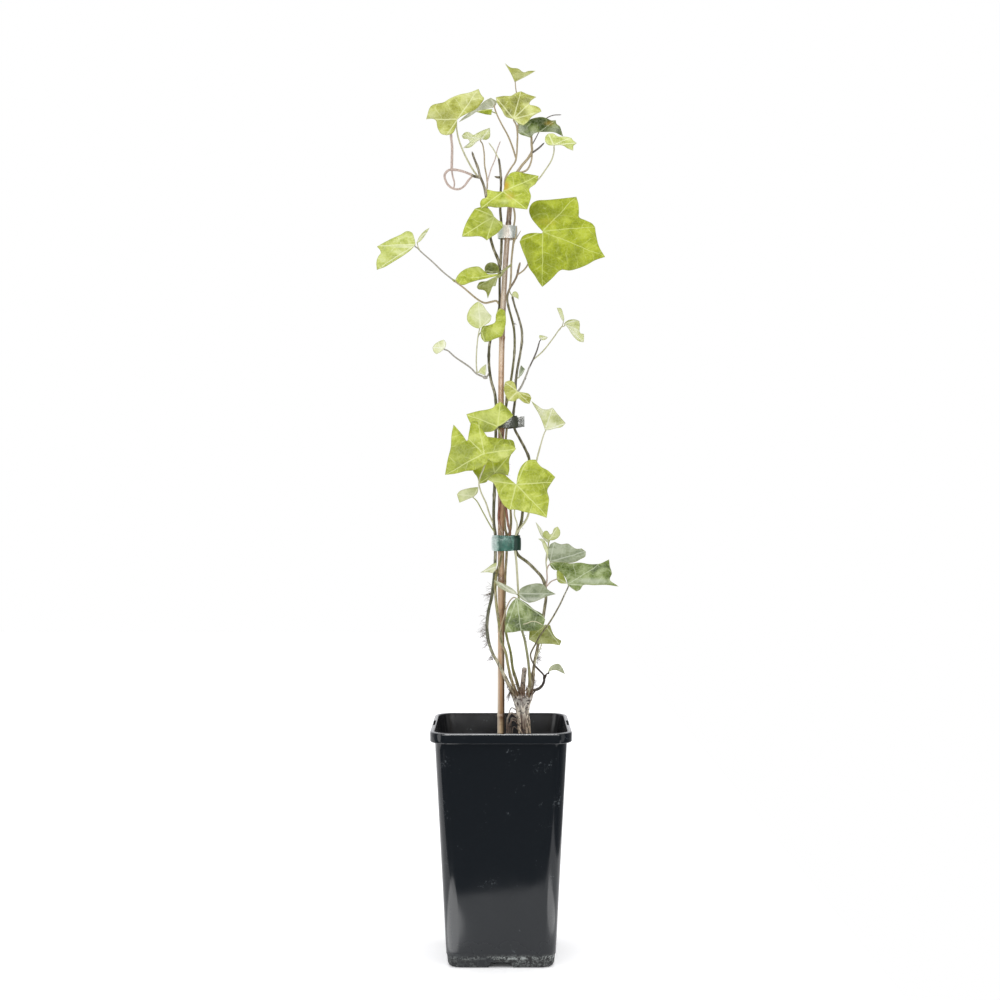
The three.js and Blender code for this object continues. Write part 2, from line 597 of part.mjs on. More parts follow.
    look: "bright", depth: -6, lean: [0, 0.6], fold: 0, middle: [44, 362.4],
    edge: [[42, 359.9], [38.5, 361.8], [36.6, 364.6], [38, 367.8], [40.5, 368], [43, 364.8],
      [45, 366], [46.5, 370], [49.6, 371.8, TIP], [51.7, 368], [51.4, 364], [48.5, 361],
      [45, 359.8]],
  },
  leaf_32: {
    look: "grey", depth: 2, lean: [0, 1.3], fold: 0, middle: [54, 348],
    edge: [[42.8, 340.8], [41, 345.5], [41.3, 351.5], [43.5, 356.5], [47, 358.3, TIP],
      [52.5, 356.4], [58.5, 357], [62.5, 354.5], [66, 352.6], [70.5, 352.8, TIP],
      [74.2, 350, TIP], [73.8, 346], [69.5, 343.5], [65, 341], [58, 340.2], [50, 340.5]],
  },
  leaf_33: {
    look: "grey", depth: -2, lean: [0, 0.2], fold: 0, middle: [38.6, 357.5],
    edge: [[41, 345], [38.8, 350], [36.8, 355], [35.6, 358.6], [32.4, 361.2, TIP], [36.6, 360.8],
      [39.9, 356], [41.4, 350]],
  },
  leaf_34: {
    look: "deep", depth: -25, lean: [-0.1, 0.95], fold: 0.1, middle: [70, 330],
    edge: [[58.3, 321], [57, 326], [53, 331.5], [50, 333.6], [46.5, 334.3], [43.5, 337],
      [42.3, 340.3, TIP], [52, 340.6], [61, 339.8], [69, 340.3], [78, 338.8], [87, 339.6],
      [94.6, 343.2, TIP], [95.3, 337], [97, 331], [95.2, 325.5], [102.8, 319.4, TIP],
      [92, 321], [81, 320.6], [72, 320.6], [69.5, 317], [66, 315.2, TIP], [62, 317.8]],
  },
  leaf_35: {
    look: "bright", depth: 15, lean: [0, 0.5], fold: 0, middle: [52, 327.5],
    edge: [[48.8, 327], [49, 333], [51, 334.5], [54, 330.5], [57.8, 322, TIP], [52, 322.3],
      [49.5, 324.3]],
  },
  leaf_36: {
    look: "grey", depth: -13, lean: [0, 0.7], fold: 0.1, middle: [27, 313.5],
    edge: [[15.5, 313], [16.8, 317], [20.5, 319.5], [26, 321.3], [32, 322.2], [37, 321.3],
      [41, 316.8], [47.8, 312.8, TIP], [40.5, 311], [36, 309], [30.5, 306.6],
      [24.5, 305.2, TIP], [19.5, 307.5], [16, 310.5]],
  },
  leaf_37: {
    look: "grey", depth: -17, lean: [0.05, 0], fold: 0, middle: [4, 318],
    edge: [[13.8, 312.2], [8, 313.5], [2.5, 316], [-2.5, 319.2], [-6.2, 325, TIP],
      [-0.5, 322.8], [5, 320.3], [10, 317.3], [13.5, 314]],
  },
  leaf_38: {
    look: "deep", depth: -15, lean: [0, 0.2], fold: 0.12, middle: [18, 294],
    edge: [[14, 309.6], [9.5, 305.5], [6, 299], [4.2, 291], [3.6, 279, TIP], [10, 279.2],
      [17, 280.6, TIP], [24, 280.2], [33, 281.2], [37, 285], [38.6, 290.5, TIP],
      [35.5, 295.5], [29, 299], [23.5, 303.8], [18.5, 307]],
  },
  leaf_39: {
    look: "bright", depth: -1, lean: [0, 0.3], fold: 0.1, middle: [38, 276],
    edge: [[38.5, 286], [35, 283.5], [30, 281.8], [25, 281.5, TIP], [24.3, 273, TIP],
      [31, 269.6], [38, 269.2], [45, 269], [51.5, 267.8, TIP], [53, 271.8, TIP], [48, 275],
      [45, 279.5], [43, 285.5, TIP]],
  },
  leaf_40: {
    look: "grey", depth: -10, lean: [0, 0.8], fold: 0, middle: [48, 248.6],
    edge: [[41, 244], [42.8, 248.5], [46, 250.8], [50.3, 251.6], [53.2, 249], [56, 243, TIP],
      [52, 244.8], [48.5, 246.3], [44.5, 246]],
  },
  leaf_41: {
    look: "pale", depth: -9, lean: [0, 0.5], fold: 0, middle: [-8, 335],
    edge: [[-4, 336.5], [-3.5, 340.2, TIP], [-7, 339.2], [-12, 335.5], [-18, 331.6, TIP],
      [-12, 332], [-7, 331.2, TIP], [-5, 333.5]],
  },
  leaf_42: {
    look: "pale", depth: -5, lean: [0, 0.3], fold: 0, middle: [12.5, 574.5],
    edge: [[9.5, 574], [10.5, 577], [13, 577.6], [15.2, 575], [15.3, 570.8, TIP],
      [13, 572.3], [11, 572.8]],
  },
  leaf_43: {
    look: "grey", depth: -3, lean: [0, 0.5], fold: 0, middle: [-15.5, 507.5],
    edge: [[-13.6, 503.8], [-12.9, 508], [-13, 514, TIP], [-17, 511], [-20.4, 506.6, TIP],
      [-16.5, 505]],
  },
  leaf_44: {
    look: "grey", depth: 1, lean: [0, 0.5], fold: 0, middle: [17.5, 507.5],
    edge: [[15.4, 502.4], [16, 508], [17.5, 513, TIP], [21, 509.5, TIP], [18, 504.2]],
  },
};

/** The midrib's line and the depth of the blade at a place [x, z]. */
function bladeDepth(leaf, x, z) {
  const [stalkX, stalkZ] = leaf.edge[0];
  const rib = new THREE.Vector2(leaf.middle[0] - stalkX, leaf.middle[1] - stalkZ).normalize();
  const across = (x - stalkX) * rib.y - (z - stalkZ) * rib.x;
  const lift = leaf.fold * (Math.sqrt(across * across + 4) - 2);
  return leaf.depth + leaf.lean[0] * (x - stalkX) + leaf.lean[1] * (z - stalkZ) + lift;
}

const bladePoint = (leaf, x, z) => seen([x, z, bladeDepth(leaf, x, z)]);

/** The blade's normal at a place, on the side away from the viewer. */
function bladeNormal(leaf, x, z) {
  const probe = 0.5;
  const right = bladePoint(leaf, x + probe, z).sub(bladePoint(leaf, x - probe, z));
  const up = bladePoint(leaf, x, z + probe).sub(bladePoint(leaf, x, z - probe));
  return up.cross(right).normalize();
}

/** A thin blade: a fan and one ring round its middle, split alike on both faces. */
function buildLeaf(leaf) {
  const [middleX, middleZ] = leaf.middle;
  const inner = leaf.edge.map(([x, z]) => [(x + middleX) / 2, (z + middleZ) / 2]);
  const spots = [leaf.middle, ...inner, ...leaf.edge];
  const half = BLADE_THICKNESS / 2;
  const face = (side) =>
    spots.map(([x, z]) =>
      bladePoint(leaf, x, z).addScaledVector(bladeNormal(leaf, x, z), side * half),
    );
  const count = leaf.edge.length;
  const back = spots.length;
  const index = [];
  const split = (a, b, c) => index.push(a, b, c, back + a, back + c, back + b);
  for (let i = 0; i < count; i += 1) {
    const next = (i + 1) % count;
    const [a, b, c, d] = [1 + i, 1 + next, 1 + count + next, 1 + count + i];
    split(0, a, b);
    split(a, d, c);
    split(a, c, b);
    index.push(d, back + d, back + c, d, back + c, c);
  }
  const geometry = new THREE.BufferGeometry().setFromPoints([...face(-1), ...face(1)]);
  geometry.setIndex(index);
  return solid(geometry);
}

/** The last places of a stalk: from below the blade to just short of its underside. */
function seat(name, radius) {
  const leaf = LEAVES[name];
  const inset = 0.9;
  const [stalkX, stalkZ] = leaf.edge[0];
  const toMiddle = new THREE.Vector2(leaf.middle[0] - stalkX, leaf.middle[1] - stalkZ).normalize();
  const [x, z] = [stalkX + inset * toMiddle.x, stalkZ + inset * toMiddle.y];
  const away = bladeNormal(leaf, x, z);
  if (leaf.lean[1] < 0) away.negate();
  const clear = BLADE_THICKNESS / 2 + GAP;
  return [clear + 1.2 + radius, clear].map((reach) =>
    bladePoint(leaf, x, z).addScaledVector(away, reach),
  );
}

// ---- Stems --------------------------------------------------------------------------------
// Each stem is a list of shoots fused into one piece. A shoot runs through its places, and one
// that ends under a leaf names it.

/** The first places of a stem, upright from just above the collar's flat top. */
const foot = (x, y) =>
  [GAP, 3.4].map((rise) => unseen(new THREE.Vector3(x, y, COLLAR_TOP + rise)));

const STEMS = {
  stem_left: {
    look: "greyStem",
    shoots: [
      { radius: 1.6, places: [...foot(11.2, -1.7), [9, 229.5, -3], [5, 237, -5], [0.9, 245.3, -6],
        [-3.5, 254, -5.6], [-6.5, 259, -4.2], [-10.5, 270, -2.2], [-12.3, 284, -1.4],
        [-10.9, 298, -1.2], [-7.9, 311, -1.5], [-6.3, 325, -2], [-5.2, 340, -2.3],
        [-4.9, 351, -2.5], [-4.9, 364, -2.5], [-6.2, 374, -2.5], [-6.4, 386, -2.5],
        [-6, 397, -2.5], [-5.5, 412, -2.5], [-5, 432, -2.5], [-4.6, 450, -2.5],
        [-4.5, 464, -2.5], [-4.4, 478, -2.3], [-5.4, 488, -1.8], [-8.5, 499, -1],
        [-10.4, 512, 0], [-10.6, 524, 1], [-9.5, 534, 1.6], [-6, 545, 2.6], [-2.5, 556, 3.4],
        [-1.2, 568, 3.5], [-1.2, 582, 3.5], [-1, 594, 3.5], [0, 606, 3]] },
      { radius: 1.4, places: [[-0.6, 600, 3.4], [0.2, 612, 2.8], [0.5, 625, 2.5], [0.2, 638, 2.4],
        [-0.6, 648, 2], [-0.6, 660, 1], [0, 672, 0.2], [-0.6, 684, 0], [-2, 694, 0]] },
      { radius: 0.6, leaf: "leaf_29", places: [[-5.6, 367, -2.8], [-9, 372, -5.6], [-15.9, 384.5, -10.4],
        [-21.5, 394.5, -14]] },
      { radius: 0.7, leaf: "leaf_26", places: [[-6.2, 373, -2.6], [-9.5, 381, -5],
        [-13, 392, -14], [-17.5, 402, -24], [-19.3, 411, -31], [-15.5, 422, -34.4]] },
      { radius: 0.8, leaf: "leaf_21", places: [[-9.8, 506.5, 0], [-13.5, 502.2, -1],
        [-17, 503.5, -2], [-21.3, 505.5, -3], [-27, 511, -6], [-40, 520, -14], [-47, 526, -18.6]] },
      { radius: 1.5, places: [[-12, 502.6, -1], [-14, 501.9, -1.2], [-16, 502.7, -1.6]] },
      { radius: 0.5, leaf: "leaf_43", places: [[-13.4, 502, -1.2], [-13.2, 503, 0.6]] },
      { radius: 0.6, leaf: "leaf_17", places: [[-20.8, 505.2, -3], [-21.6, 514, -6], [-21, 530, -13],
        [-19.6, 541, -18]] },
      { radius: 0.5, leaf: "leaf_18", places: [[-20.1, 538, -16.6], [-18.6, 540.6, -11.6]] },
      { radius: 0.9, places: [[-1.4, 566, 3.5], [-4, 569.2, 4], [-8, 568.6, 6], [-14, 567.5, 8],
        [-20, 570.3, 10.5], [-33, 581, 17], [-41.5, 587.3, 21]] },
      { radius: 0.75, leaf: "leaf_12", places: [[-40, 586.2, 20.4], [-50, 594, 24.6], [-60, 603.5, 29],
        [-70, 612.3, 33.4], [-73.2, 615.6, 34.6]] },
      { radius: 1.3, places: [[-40.4, 586.4, 20.6], [-42.8, 588.4, 21.6]] },
      { radius: 0.5, leaf: "leaf_13", places: [[-70.6, 612.8, 33.6], [-72.6, 616.6, 33]] },
      { radius: 1.4, places: [[-0.9, 597, 3.4], [-2.8, 606, 2.4], [-6, 613.5, 0], [-9, 623.5, -2],
        [-11, 635, -2.4], [-12.5, 648, -2.4], [-13, 659, -2.4], [-15, 670, -1.4], [-18.5, 679, 0],
        [-20, 685, 0], [-24, 695.5, 1], [-25.2, 699.4, 1]] },
      { radius: 0.6, leaf: "leaf_10", places: [[-10.6, 632, -2.4], [-9.6, 637, -7],
        [-8, 641, -13]] },
      { radius: 1.5, places: [[-18, 677.6, 0], [-23, 678.2, -1], [-28, 680.8, -2]] },
      { radius: 1.1, places: [[-26, 679.8, -1.8], [-33, 682.5, -2], [-40, 684, -2],
        [-46, 683.6, -1], [-49.3, 679.6, 0], [-48.4, 674.4, 1], [-45.6, 670, 2], [-41, 667.3, 2],
        [-36, 667.3, 2], [-32, 670, 1], [-28, 675.5, 0], [-25, 678.4, -1]] },
      { radius: 1.2, places: [[-43.2, 683.8, -2], [-43, 692, -5], [-42.8, 704, -11],
        [-43.6, 712, -17], [-43.8, 717, -19.6]] },
      { radius: 0.8, places: [[-43.2, 683.8, -2], [-42.2, 678, -1.6], [-40.8, 672.6, 0],
        [-41.4, 667.4, 2]] },
      { radius: 0.8, leaf: "leaf_02", places: [[-20.4, 678.4, -0.4], [-24.5, 684, -2.4],
        [-28, 690, -5], [-32.5, 699, -9], [-36.8, 710, -13], [-38.8, 720, -15]] },
      { radius: 0.7, leaf: "leaf_08", places: [[-13.4, 662, -2.2], [-12, 670, -2],
        [-12.4, 677, -1], [-14.3, 688, 2], [-14.8, 699, 5.4], [-16.4, 707, 8.6]] },
      { radius: 0.55, places: [[-12.2, 672, -2], [-9, 684, -1], [-5.2, 693.4, 1.4], [-3.2, 702, 3],
        [-0.6, 709, 4.4]] },
      { radius: 0.6, places: [[-1.8, 693, 0], [-6, 701, 0.4], [-10.6, 707.6, 0.4]] },
      { radius: 1.3, places: [[0, 677.6, 0], [-2.4, 677.4, -1], [-5.2, 678, -1.6]] },
    ],
  },
  stem_front: {
    look: "greenStem",
    shoots: [
      { radius: 1.4, places: [...foot(13.4, -4.6), [12.2, 229, -5.2], [8.75, 239, -6],
        [6.1, 250.6, -6.2], [4.2, 261, -6.4], [0.9, 270, -6.4], [-0.9, 281, -6.2],
        [-2.6, 292.6, -6], [-4.4, 306.6, -5.6], [-5, 320, -5.8], [-4, 330, -6], [-0.4, 342, -6],
        [1.5, 351, -5.5], [1.5, 364, -5.5], [0, 369, -5.6], [-2, 379, -5.8], [-1.2, 390, -5.8],
        [0, 405, -6], [0.8, 425, -6], [1.2, 445, -5.8], [2.3, 458, -5.2], [3.2, 468, -4.6],
        [5, 480, -3], [7.5, 492, -1], [8.9, 501, 0], [10.2, 510, 0], [11.5, 521, 0], [12, 534, 0],
        [11.2, 545.6, -1], [9, 555, -3], [6.6, 564, -4.6], [5.4, 572, -5], [7.6, 580, -4.8],
        [10.8, 585, -4], [13.8, 591, -3.2], [15.2, 597, -3], [16.6, 602.5, -3]] },
      { radius: 0.6, leaf: "leaf_38", places: [[3.8, 262, -6.4], [0.4, 268, -8.4],
        [-1.5, 274, -10.6], [-0.2, 283, -13], [2.2, 291.5, -13.6], [4.6, 300, -13.4],
        [8, 307, -12.6], [11.4, 309.8, -12.2]] },
      { radius: 0.5, leaf: "leaf_41", places: [[-4.2, 329.5, -6], [-4.6, 333, -6.2]] },
      { radius: 0.7, leaf: "leaf_25", places: [[1.2, 445.5, -5.8], [0.4, 450, -9],
        [-1.6, 455, -14.4]] },
      { radius: 0.7, leaf: "leaf_27", places: [[0.3, 411, -6], [-1.6, 413.6, -12],
        [-4.4, 416.2, -19]] },
      { radius: 1.2, places: [[1.6, 352, -5.5], [4.6, 359, -6], [7.8, 366, -5.8], [6.2, 374, -6.2],
        [4.8, 384, -6.8], [3.6, 395, -7.4], [2, 406, -7], [0.6, 416, -6]] },
      { radius: 0.6, leaf: "leaf_23", places: [[5.2, 481, -2.9], [9, 484.4, -6],
        [12.6, 487.2, -8.6]] },
      { radius: 0.9, places: [[7.6, 580, -4.8], [8.7, 590, -5], [9.1, 603, -4.6], [10, 613, -3.4],
        [11, 622, -2.2], [11.2, 634, -1.8], [12.2, 642, -2.4], [11.2, 650, -4.4], [8.4, 657, -5.8],
        [5, 664, -5.4], [3.2, 671, -3.4], [4, 677, -1.6], [9, 686, 0], [12.4, 691, 0],
        [13.7, 697, 0], [14.3, 710, 0]] },
      { radius: 0.75, leaf: "leaf_11", places: [[14.2, 592, -3.1], [20.7, 597, -4.4],
        [27, 608, -7], [32.6, 620, -9.6], [35.4, 626.4, -11.6]] },
      { radius: 0.9, leaf: "leaf_14", places: [[9, 601, -4.7], [5, 597.8, -7], [1.4, 594.4, -9.6],
        [0, 592, -11.8]] },
      { radius: 0.5, leaf: "leaf_15", places: [[3.8, 596.8, -7.6], [0, 595.4, -7.6]] },
      { radius: 0.5, leaf: "leaf_16", places: [[2.2, 595.2, -9], [0.2, 591, -7]] },
      { radius: 0.45, leaf: "leaf_42", places: [[7.2, 578.6, -4.9], [8.6, 575.4, -3.6]] },
      { radius: 0.6, leaf: "leaf_09", places: [[6.4, 661.2, -5.6], [4.2, 662.4, -10.4],
        [3, 663.4, -16]] },
      { radius: 0.5, places: [[10.5, 617.6, -2.8], [12, 621.6, -6], [13.9, 634.8, -8]] },
      { radius: 0.4, places: [[11.6, 621.4, -5], [14, 625, -6.6], [17.4, 630.8, -7]] },
      { radius: 0.8, leaf: "leaf_04", places: [[13.2, 694, 0], [10, 704, 6], [6, 714, 13],
        [0, 725, 20.4], [-4.4, 734.6, 25.6]] },
      { radius: 0.5, leaf: "leaf_05", places: [[-3.8, 733.2, 25], [-6.4, 734.4, 23]] },
      { radius: 0.8, leaf: "leaf_03", places: [[14.1, 704, 0], [14.4, 716, -5], [13, 724, -11]] },
      { radius: 0.55, leaf: "leaf_01", places: [[14.2, 708, 0], [15, 724, 1], [15.5, 735, 6],
        [14.5, 746, 12], [13, 754.6, 10.4]] },
      { radius: 1.4, leaf: "leaf_06", places: [[4.4, 678, -1.4], [8.4, 677, -2.6], [14, 682, -2],
        [18.4, 688, 0], [24, 694.5, 6], [27, 700, 10.6], [26.8, 706, 17.4]] },
      { radius: 0.9, places: [[13, 681, -2.2], [22, 683.4, 0], [26, 690, 4], [27.4, 698, 9]] },
      { radius: 0.9, places: [[26.8, 698.6, 9.4], [33, 703, 11], [37.6, 707.4, 13]] },
      { radius: 0.5, places: [[26.8, 705, 16.6], [32.6, 716, 28], [38, 727.6, 28],
        [45, 731.6, 26], [52.6, 732.2, 24]] },
      { radius: 0.7, leaf: "leaf_07", places: [[7.2, 659.4, -5.9], [16, 662, -5], [25, 669, -3],
        [33, 676, -2.4], [38.6, 683.6, -5], [44, 692, -9], [46.4, 700, -13]] },
    ],
  },
  stem_back: {
    look: "greenStem",
    shoots: [
      { radius: 1.4, places: [...foot(16.8, 3.6), [15.8, 229, 3.8], [13.6, 236.6, 4.2],
        [10.4, 247, 4.8], [8.5, 261, 5.4], [5.7, 272.5, 6], [4.1, 281, 6.4], [3, 300, 6.8],
        [3.5, 325, 6.6], [4.8, 345, 5.8], [5, 351, 5.4], [5, 364, 5.4], [3.6, 370, 5.4],
        [3, 381, 5.6], [3, 400, 6], [3.5, 425, 6], [4, 445, 5.6], [5, 458, 4.8], [5.4, 468, 4.8],
        [4.4, 478, 5.2], [5, 487, 5]] },
      { radius: 1.1, places: [[5, 360, 5.4], [8.4, 370, 5], [8.6, 382, 5], [7, 398, 5.4],
        [3.6, 412, 6]] },
    ],
  },
  stem_low: {
    look: "greenStem",
    shoots: [
      { radius: 1.4, places: [...foot(23.8, -2.5), [24.8, 231, -2.5], [25.2, 238, -2.5],
        [24.2, 250.6, -2], [22.8, 261, -1.5], [20.7, 272.4, -1], [17.8, 284, -1], [17.3, 295, -1],
        [15.9, 308, -1]] },
      { radius: 0.95, places: [[16, 305, -1], [15, 316, -1.4], [14.2, 330, -2.2], [13.2, 344, -3.4],
        [12.2, 352, -3.8], [12.2, 362, -3.8], [15.4, 368.6, -4.6], [21, 376, -4.6],
        [23.8, 382, -3.6], [27, 400, -2], [30, 424, 3], [34.6, 443, 9.6]] },
      { radius: 0.6, leaf: "leaf_24", places: [[33.6, 439, 8.2], [36.4, 449, 13],
        [38, 453.6, 17.4]] },
      { radius: 0.6, leaf: "leaf_28", places: [[12.4, 363, -3.9], [14.2, 373, -7.4],
        [11.8, 382, -13], [12.6, 392, -21], [13, 402, -27.4]] },
      { radius: 0.5, leaf: "leaf_36", places: [[15.7, 309.4, -1.4], [16.6, 311.8, -9]] },
      { radius: 0.5, leaf: "leaf_37", places: [[15.6, 311.4, -1.6], [13.8, 312.4, -11]] },
    ],
  },
  stem_right: {
    look: "brownStem",
    shoots: [
      { radius: 1.6, places: [...foot(26, 3), [27, 231, 3.2], [29, 250.6, 3.4], [32.4, 268, 3.6],
        [35.5, 284, 4], [38.2, 300.5, 4.6], [39.4, 310, 5.2], [38.5, 320.5, 5.6], [36, 327, 5],
        [29, 335, 3.8], [22.6, 341, 2.8], [15.8, 346, 2], [13.2, 350.4, 1.8], [13.2, 362, 2.2],
        [15, 368, 2.5], [17.8, 376, 2.6], [19, 385, 2.6], [21, 400, 2.2], [24, 420, 2],
        [24.6, 431, 2], [21, 440, 1.5], [16.2, 449, 1], [12, 457, 0.8], [10.9, 463, 0.8],
        [11, 472, 0.8], [12.3, 482, 1.6], [12.7, 492, 2.2], [13, 502, 2.5]] },
      { radius: 1.3, places: [[12.8, 498, 2.4], [14.2, 509, 2.6], [17, 524, 2.6], [18.4, 535, 2.6],
        [18.1, 544, 2.5], [15.3, 555, 2.2], [12, 565, 0.6], [9.8, 573.4, 0]] },
      { radius: 0.7, leaf: "leaf_32", places: [[39, 317, 5.5], [40.4, 326, 5], [40.2, 334, 5.4],
        [41.6, 337.6, 6]] },
      { radius: 0.6, leaf: "leaf_30", places: [[40.2, 333.6, 5.3], [39.4, 341, 3],
        [40, 348, 3.4], [41.2, 353.4, 5.4]] },
      { radius: 0.5, leaf: "leaf_33", places: [[39.3, 340, 3.2], [40.2, 343, 1]] },
      { radius: 0.5, leaf: "leaf_31", places: [[40.5, 351, 4.4], [41.6, 355.4, 0],
        [42, 358, -3.6]] },
      { radius: 0.6, leaf: "leaf_35", places: [[39.4, 318.6, 5.5], [43.6, 323.4, 11],
        [46.8, 325, 17.4]] },
      { radius: 0.9, places: [[12.6, 487.6, 2], [17, 493, 3], [20.8, 501, 4], [25.4, 513, 5]] },
      { radius: 0.75, places: [[24.2, 510, 4.8], [28.4, 518.6, 6], [31.5, 526, 7],
        [33.6, 533.4, 8.2]] },
      { radius: 0.5, leaf: "leaf_22", places: [[33, 531, 7.8], [33.8, 534, 9]] },
      { radius: 0.5, places: [[20.2, 499.6, 3.9], [22, 501.4, 3.6]] },
      { radius: 0.6, leaf: "leaf_19", places: [[27.4, 517, 5.8], [36.8, 525.4, 13],
        [45.5, 536.4, 21], [53, 546.4, 28]] },
      { radius: 0.45, leaf: "leaf_20", places: [[51, 543.6, 25.8], [53.9, 548.2, 30]] },
      { radius: 0.5, leaf: "leaf_44", places: [[13.2, 500.6, 2.5], [14.6, 501.8, 2.8]] },
    ],
  },
  stem_far: {
    look: "brownStem",
    shoots: [
      { radius: 0.8, leaf: "leaf_34", places: [...foot(26.6, -1.4), [28.4, 228.4, -2.2], [32, 229.4, -3],
        [35.6, 232, -3.6], [37.8, 237, -4], [37.4, 241.5, -4.2], [33, 246.5, -4.4],
        [28.9, 251, -4.8], [25.8, 259, -5.4], [28, 265, -7.4], [30.6, 269.5, -8.6],
        [34, 276, -10.4], [42, 287, -14], [50.8, 302, -18.8], [56, 313, -22]] },
      { radius: 0.8, places: [[37.7, 238.6, -4], [39.4, 242.2, -6.6]] },
      { radius: 0.5, leaf: "leaf_40", places: [[39, 241.4, -6], [40.6, 243.2, -8]] },
      { radius: 0.5, leaf: "leaf_39", places: [[29.2, 250.4, -4.7], [31, 257, -3.8],
        [33.8, 264, -2.6], [36.4, 271, -1.2], [38, 280, 0.8]] },
    ],
  },
};

/** A shoot's tube, carried on to its seat under the leaf that it bears. */
function buildShoot({ radius, leaf, places }) {
  if (!leaf) return tube(places, radius);
  const ends = seat(leaf, radius).map(unseen);
  return tube([...places, ...ends], radius);
}

// ---- Assembly -----------------------------------------------------------------------------

place("pot", buildPot(), FINISHES.pot);
place("soil", buildSoil(), FINISHES.soil);
place("cane", buildCane(), FINISHES.cane);
place("tie_low", band(TIES.tie_low), FINISHES.tieGreen);
place("tie_mid", band(TIES.tie_mid).add(tieFlag()), FINISHES.tieDark);
place("tie_top", band(TIES.tie_top), FINISHES.tiePale);
place("root_collar", buildCollar(), FINISHES.root);
for (const [name, { look, shoots }] of Object.entries(STEMS)) {
  place(name, join(shoots.map(buildShoot)), FINISHES[look]);
}
for (const [name, leaf] of Object.entries(LEAVES)) {
  place(name, buildLeaf(leaf), FINISHES[leaf.look]);
}

export default plant;
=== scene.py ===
"""A young ivy tied to a bamboo cane in a tall square nursery pot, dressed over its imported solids.

The tables hold millimetres, as the solids' own source does, and every mesh is made in metres. The
plant is laid out in the upright plane through the pot's middle, as an eye in front of it sees that
plane: a place is (x, z, depth), and depth says how far behind the plane the piece really lies.
Outlines of blades and paths of shoots are kept as text, which `places` reads.
"""

from __future__ import annotations

import json
import logging
import math
from contextlib import contextmanager
from dataclasses import dataclass, field
from enum import Enum
from functools import cached_property, partial
from typing import Callable, Iterator

import bpy
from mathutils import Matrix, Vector, noise

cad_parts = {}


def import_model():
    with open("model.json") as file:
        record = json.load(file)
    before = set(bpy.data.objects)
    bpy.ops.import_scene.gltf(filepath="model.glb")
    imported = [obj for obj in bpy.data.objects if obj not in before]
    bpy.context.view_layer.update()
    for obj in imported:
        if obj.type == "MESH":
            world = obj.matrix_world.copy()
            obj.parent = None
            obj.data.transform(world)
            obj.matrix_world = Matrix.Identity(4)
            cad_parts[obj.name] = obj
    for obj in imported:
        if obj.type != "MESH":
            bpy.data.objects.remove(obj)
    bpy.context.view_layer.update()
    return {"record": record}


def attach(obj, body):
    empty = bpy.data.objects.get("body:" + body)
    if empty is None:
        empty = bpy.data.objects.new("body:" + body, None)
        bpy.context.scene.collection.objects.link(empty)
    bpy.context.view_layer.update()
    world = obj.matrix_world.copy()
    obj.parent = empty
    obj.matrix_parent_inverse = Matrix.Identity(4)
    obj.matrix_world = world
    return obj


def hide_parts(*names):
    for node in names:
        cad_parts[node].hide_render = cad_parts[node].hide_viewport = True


LOG = logging.getLogger("potted_ivy")

MM = 0.001
EYE_DISTANCE = 1250.0
EYE_HEIGHT = 395.0
PICTURE_SIZE = 1000
FOCAL_PIXELS = 1428.0
POT_MIDDLE_PIXEL = 501
SENSOR_WIDTH = 36.0
TIP = 1
GOLDEN_TURN = 2.399963

BLADE_THICKNESS = 0.46
BLADE_STEP = 1.35
STALK_CLEARANCE = 0.63
SEAT_INSET = 0.9
TUBE_STEP = 1.6
COLLAR_TOP = 223.0
NOISE_SEED = 7

Place = tuple[float, float, float]
Stops = tuple[tuple[float, str], ...]
Sockets = dict[int | str, object]
Run = tuple[list[Vector], list[float]]
Piece = bpy.types.Object
Socket = bpy.types.NodeSocket
Material = bpy.types.Material
Adder = Callable[..., Socket]

BLADE_VALUES = ("fan", "reach", "gap", "rim", "pale", "dark", "warm")


class Look(Enum):
    """How a blade shows itself to the viewer."""

    FRESH = "fresh"
    LIME = "lime"
    SOFT = "soft"
    PALE = "pale"
    FAINT = "faint"
    OLIVE = "olive"
    DEEP = "deep"
    GREY = "grey"
    MIST = "mist"


class Tone(Enum):
    """What a mark does to the blade's colour."""

    PALE = "pale"
    DARK = "dark"
    WARM = "warm"


class Bark(Enum):
    """The skin of a shoot."""

    OLD = 0.0
    YOUNG = 0.2
    FAINT = 0.4
    TAN = 0.6
    PINK = 0.8
    ASH = 0.9
    DUSK = 1.0


# ---- Colours and materials ----------------------------------------------------------------


def linear(hex_colour: str) -> tuple[float, float, float, float]:
    """Turns an sRGB hex colour to linear light.

    Args:
        hex_colour: the colour as "#rrggbb".

    Returns:
        Red, green, blue and an alpha of 1.
    """
    parts = [int(hex_colour[i : i + 2], 16) / 255 for i in (1, 3, 5)]
    red, green, blue = (c / 12.92 if c <= 0.04045 else ((c + 0.055) / 1.055) ** 2.4 for c in parts)
    return red, green, blue, 1.0


def set_sockets(tree: bpy.types.NodeTree, node: bpy.types.Node, sockets: Sockets) -> None:
    """Gives a node's inputs their values and links.

    Args:
        tree: the node tree that it is in.
        node: the node.
        sockets: for each input, a value or the output that feeds it.
    """
    for key, value in sockets.items():
        if isinstance(value, Socket):
            tree.links.new(value, node.inputs[key])
        else:
            node.inputs[key].default_value = value


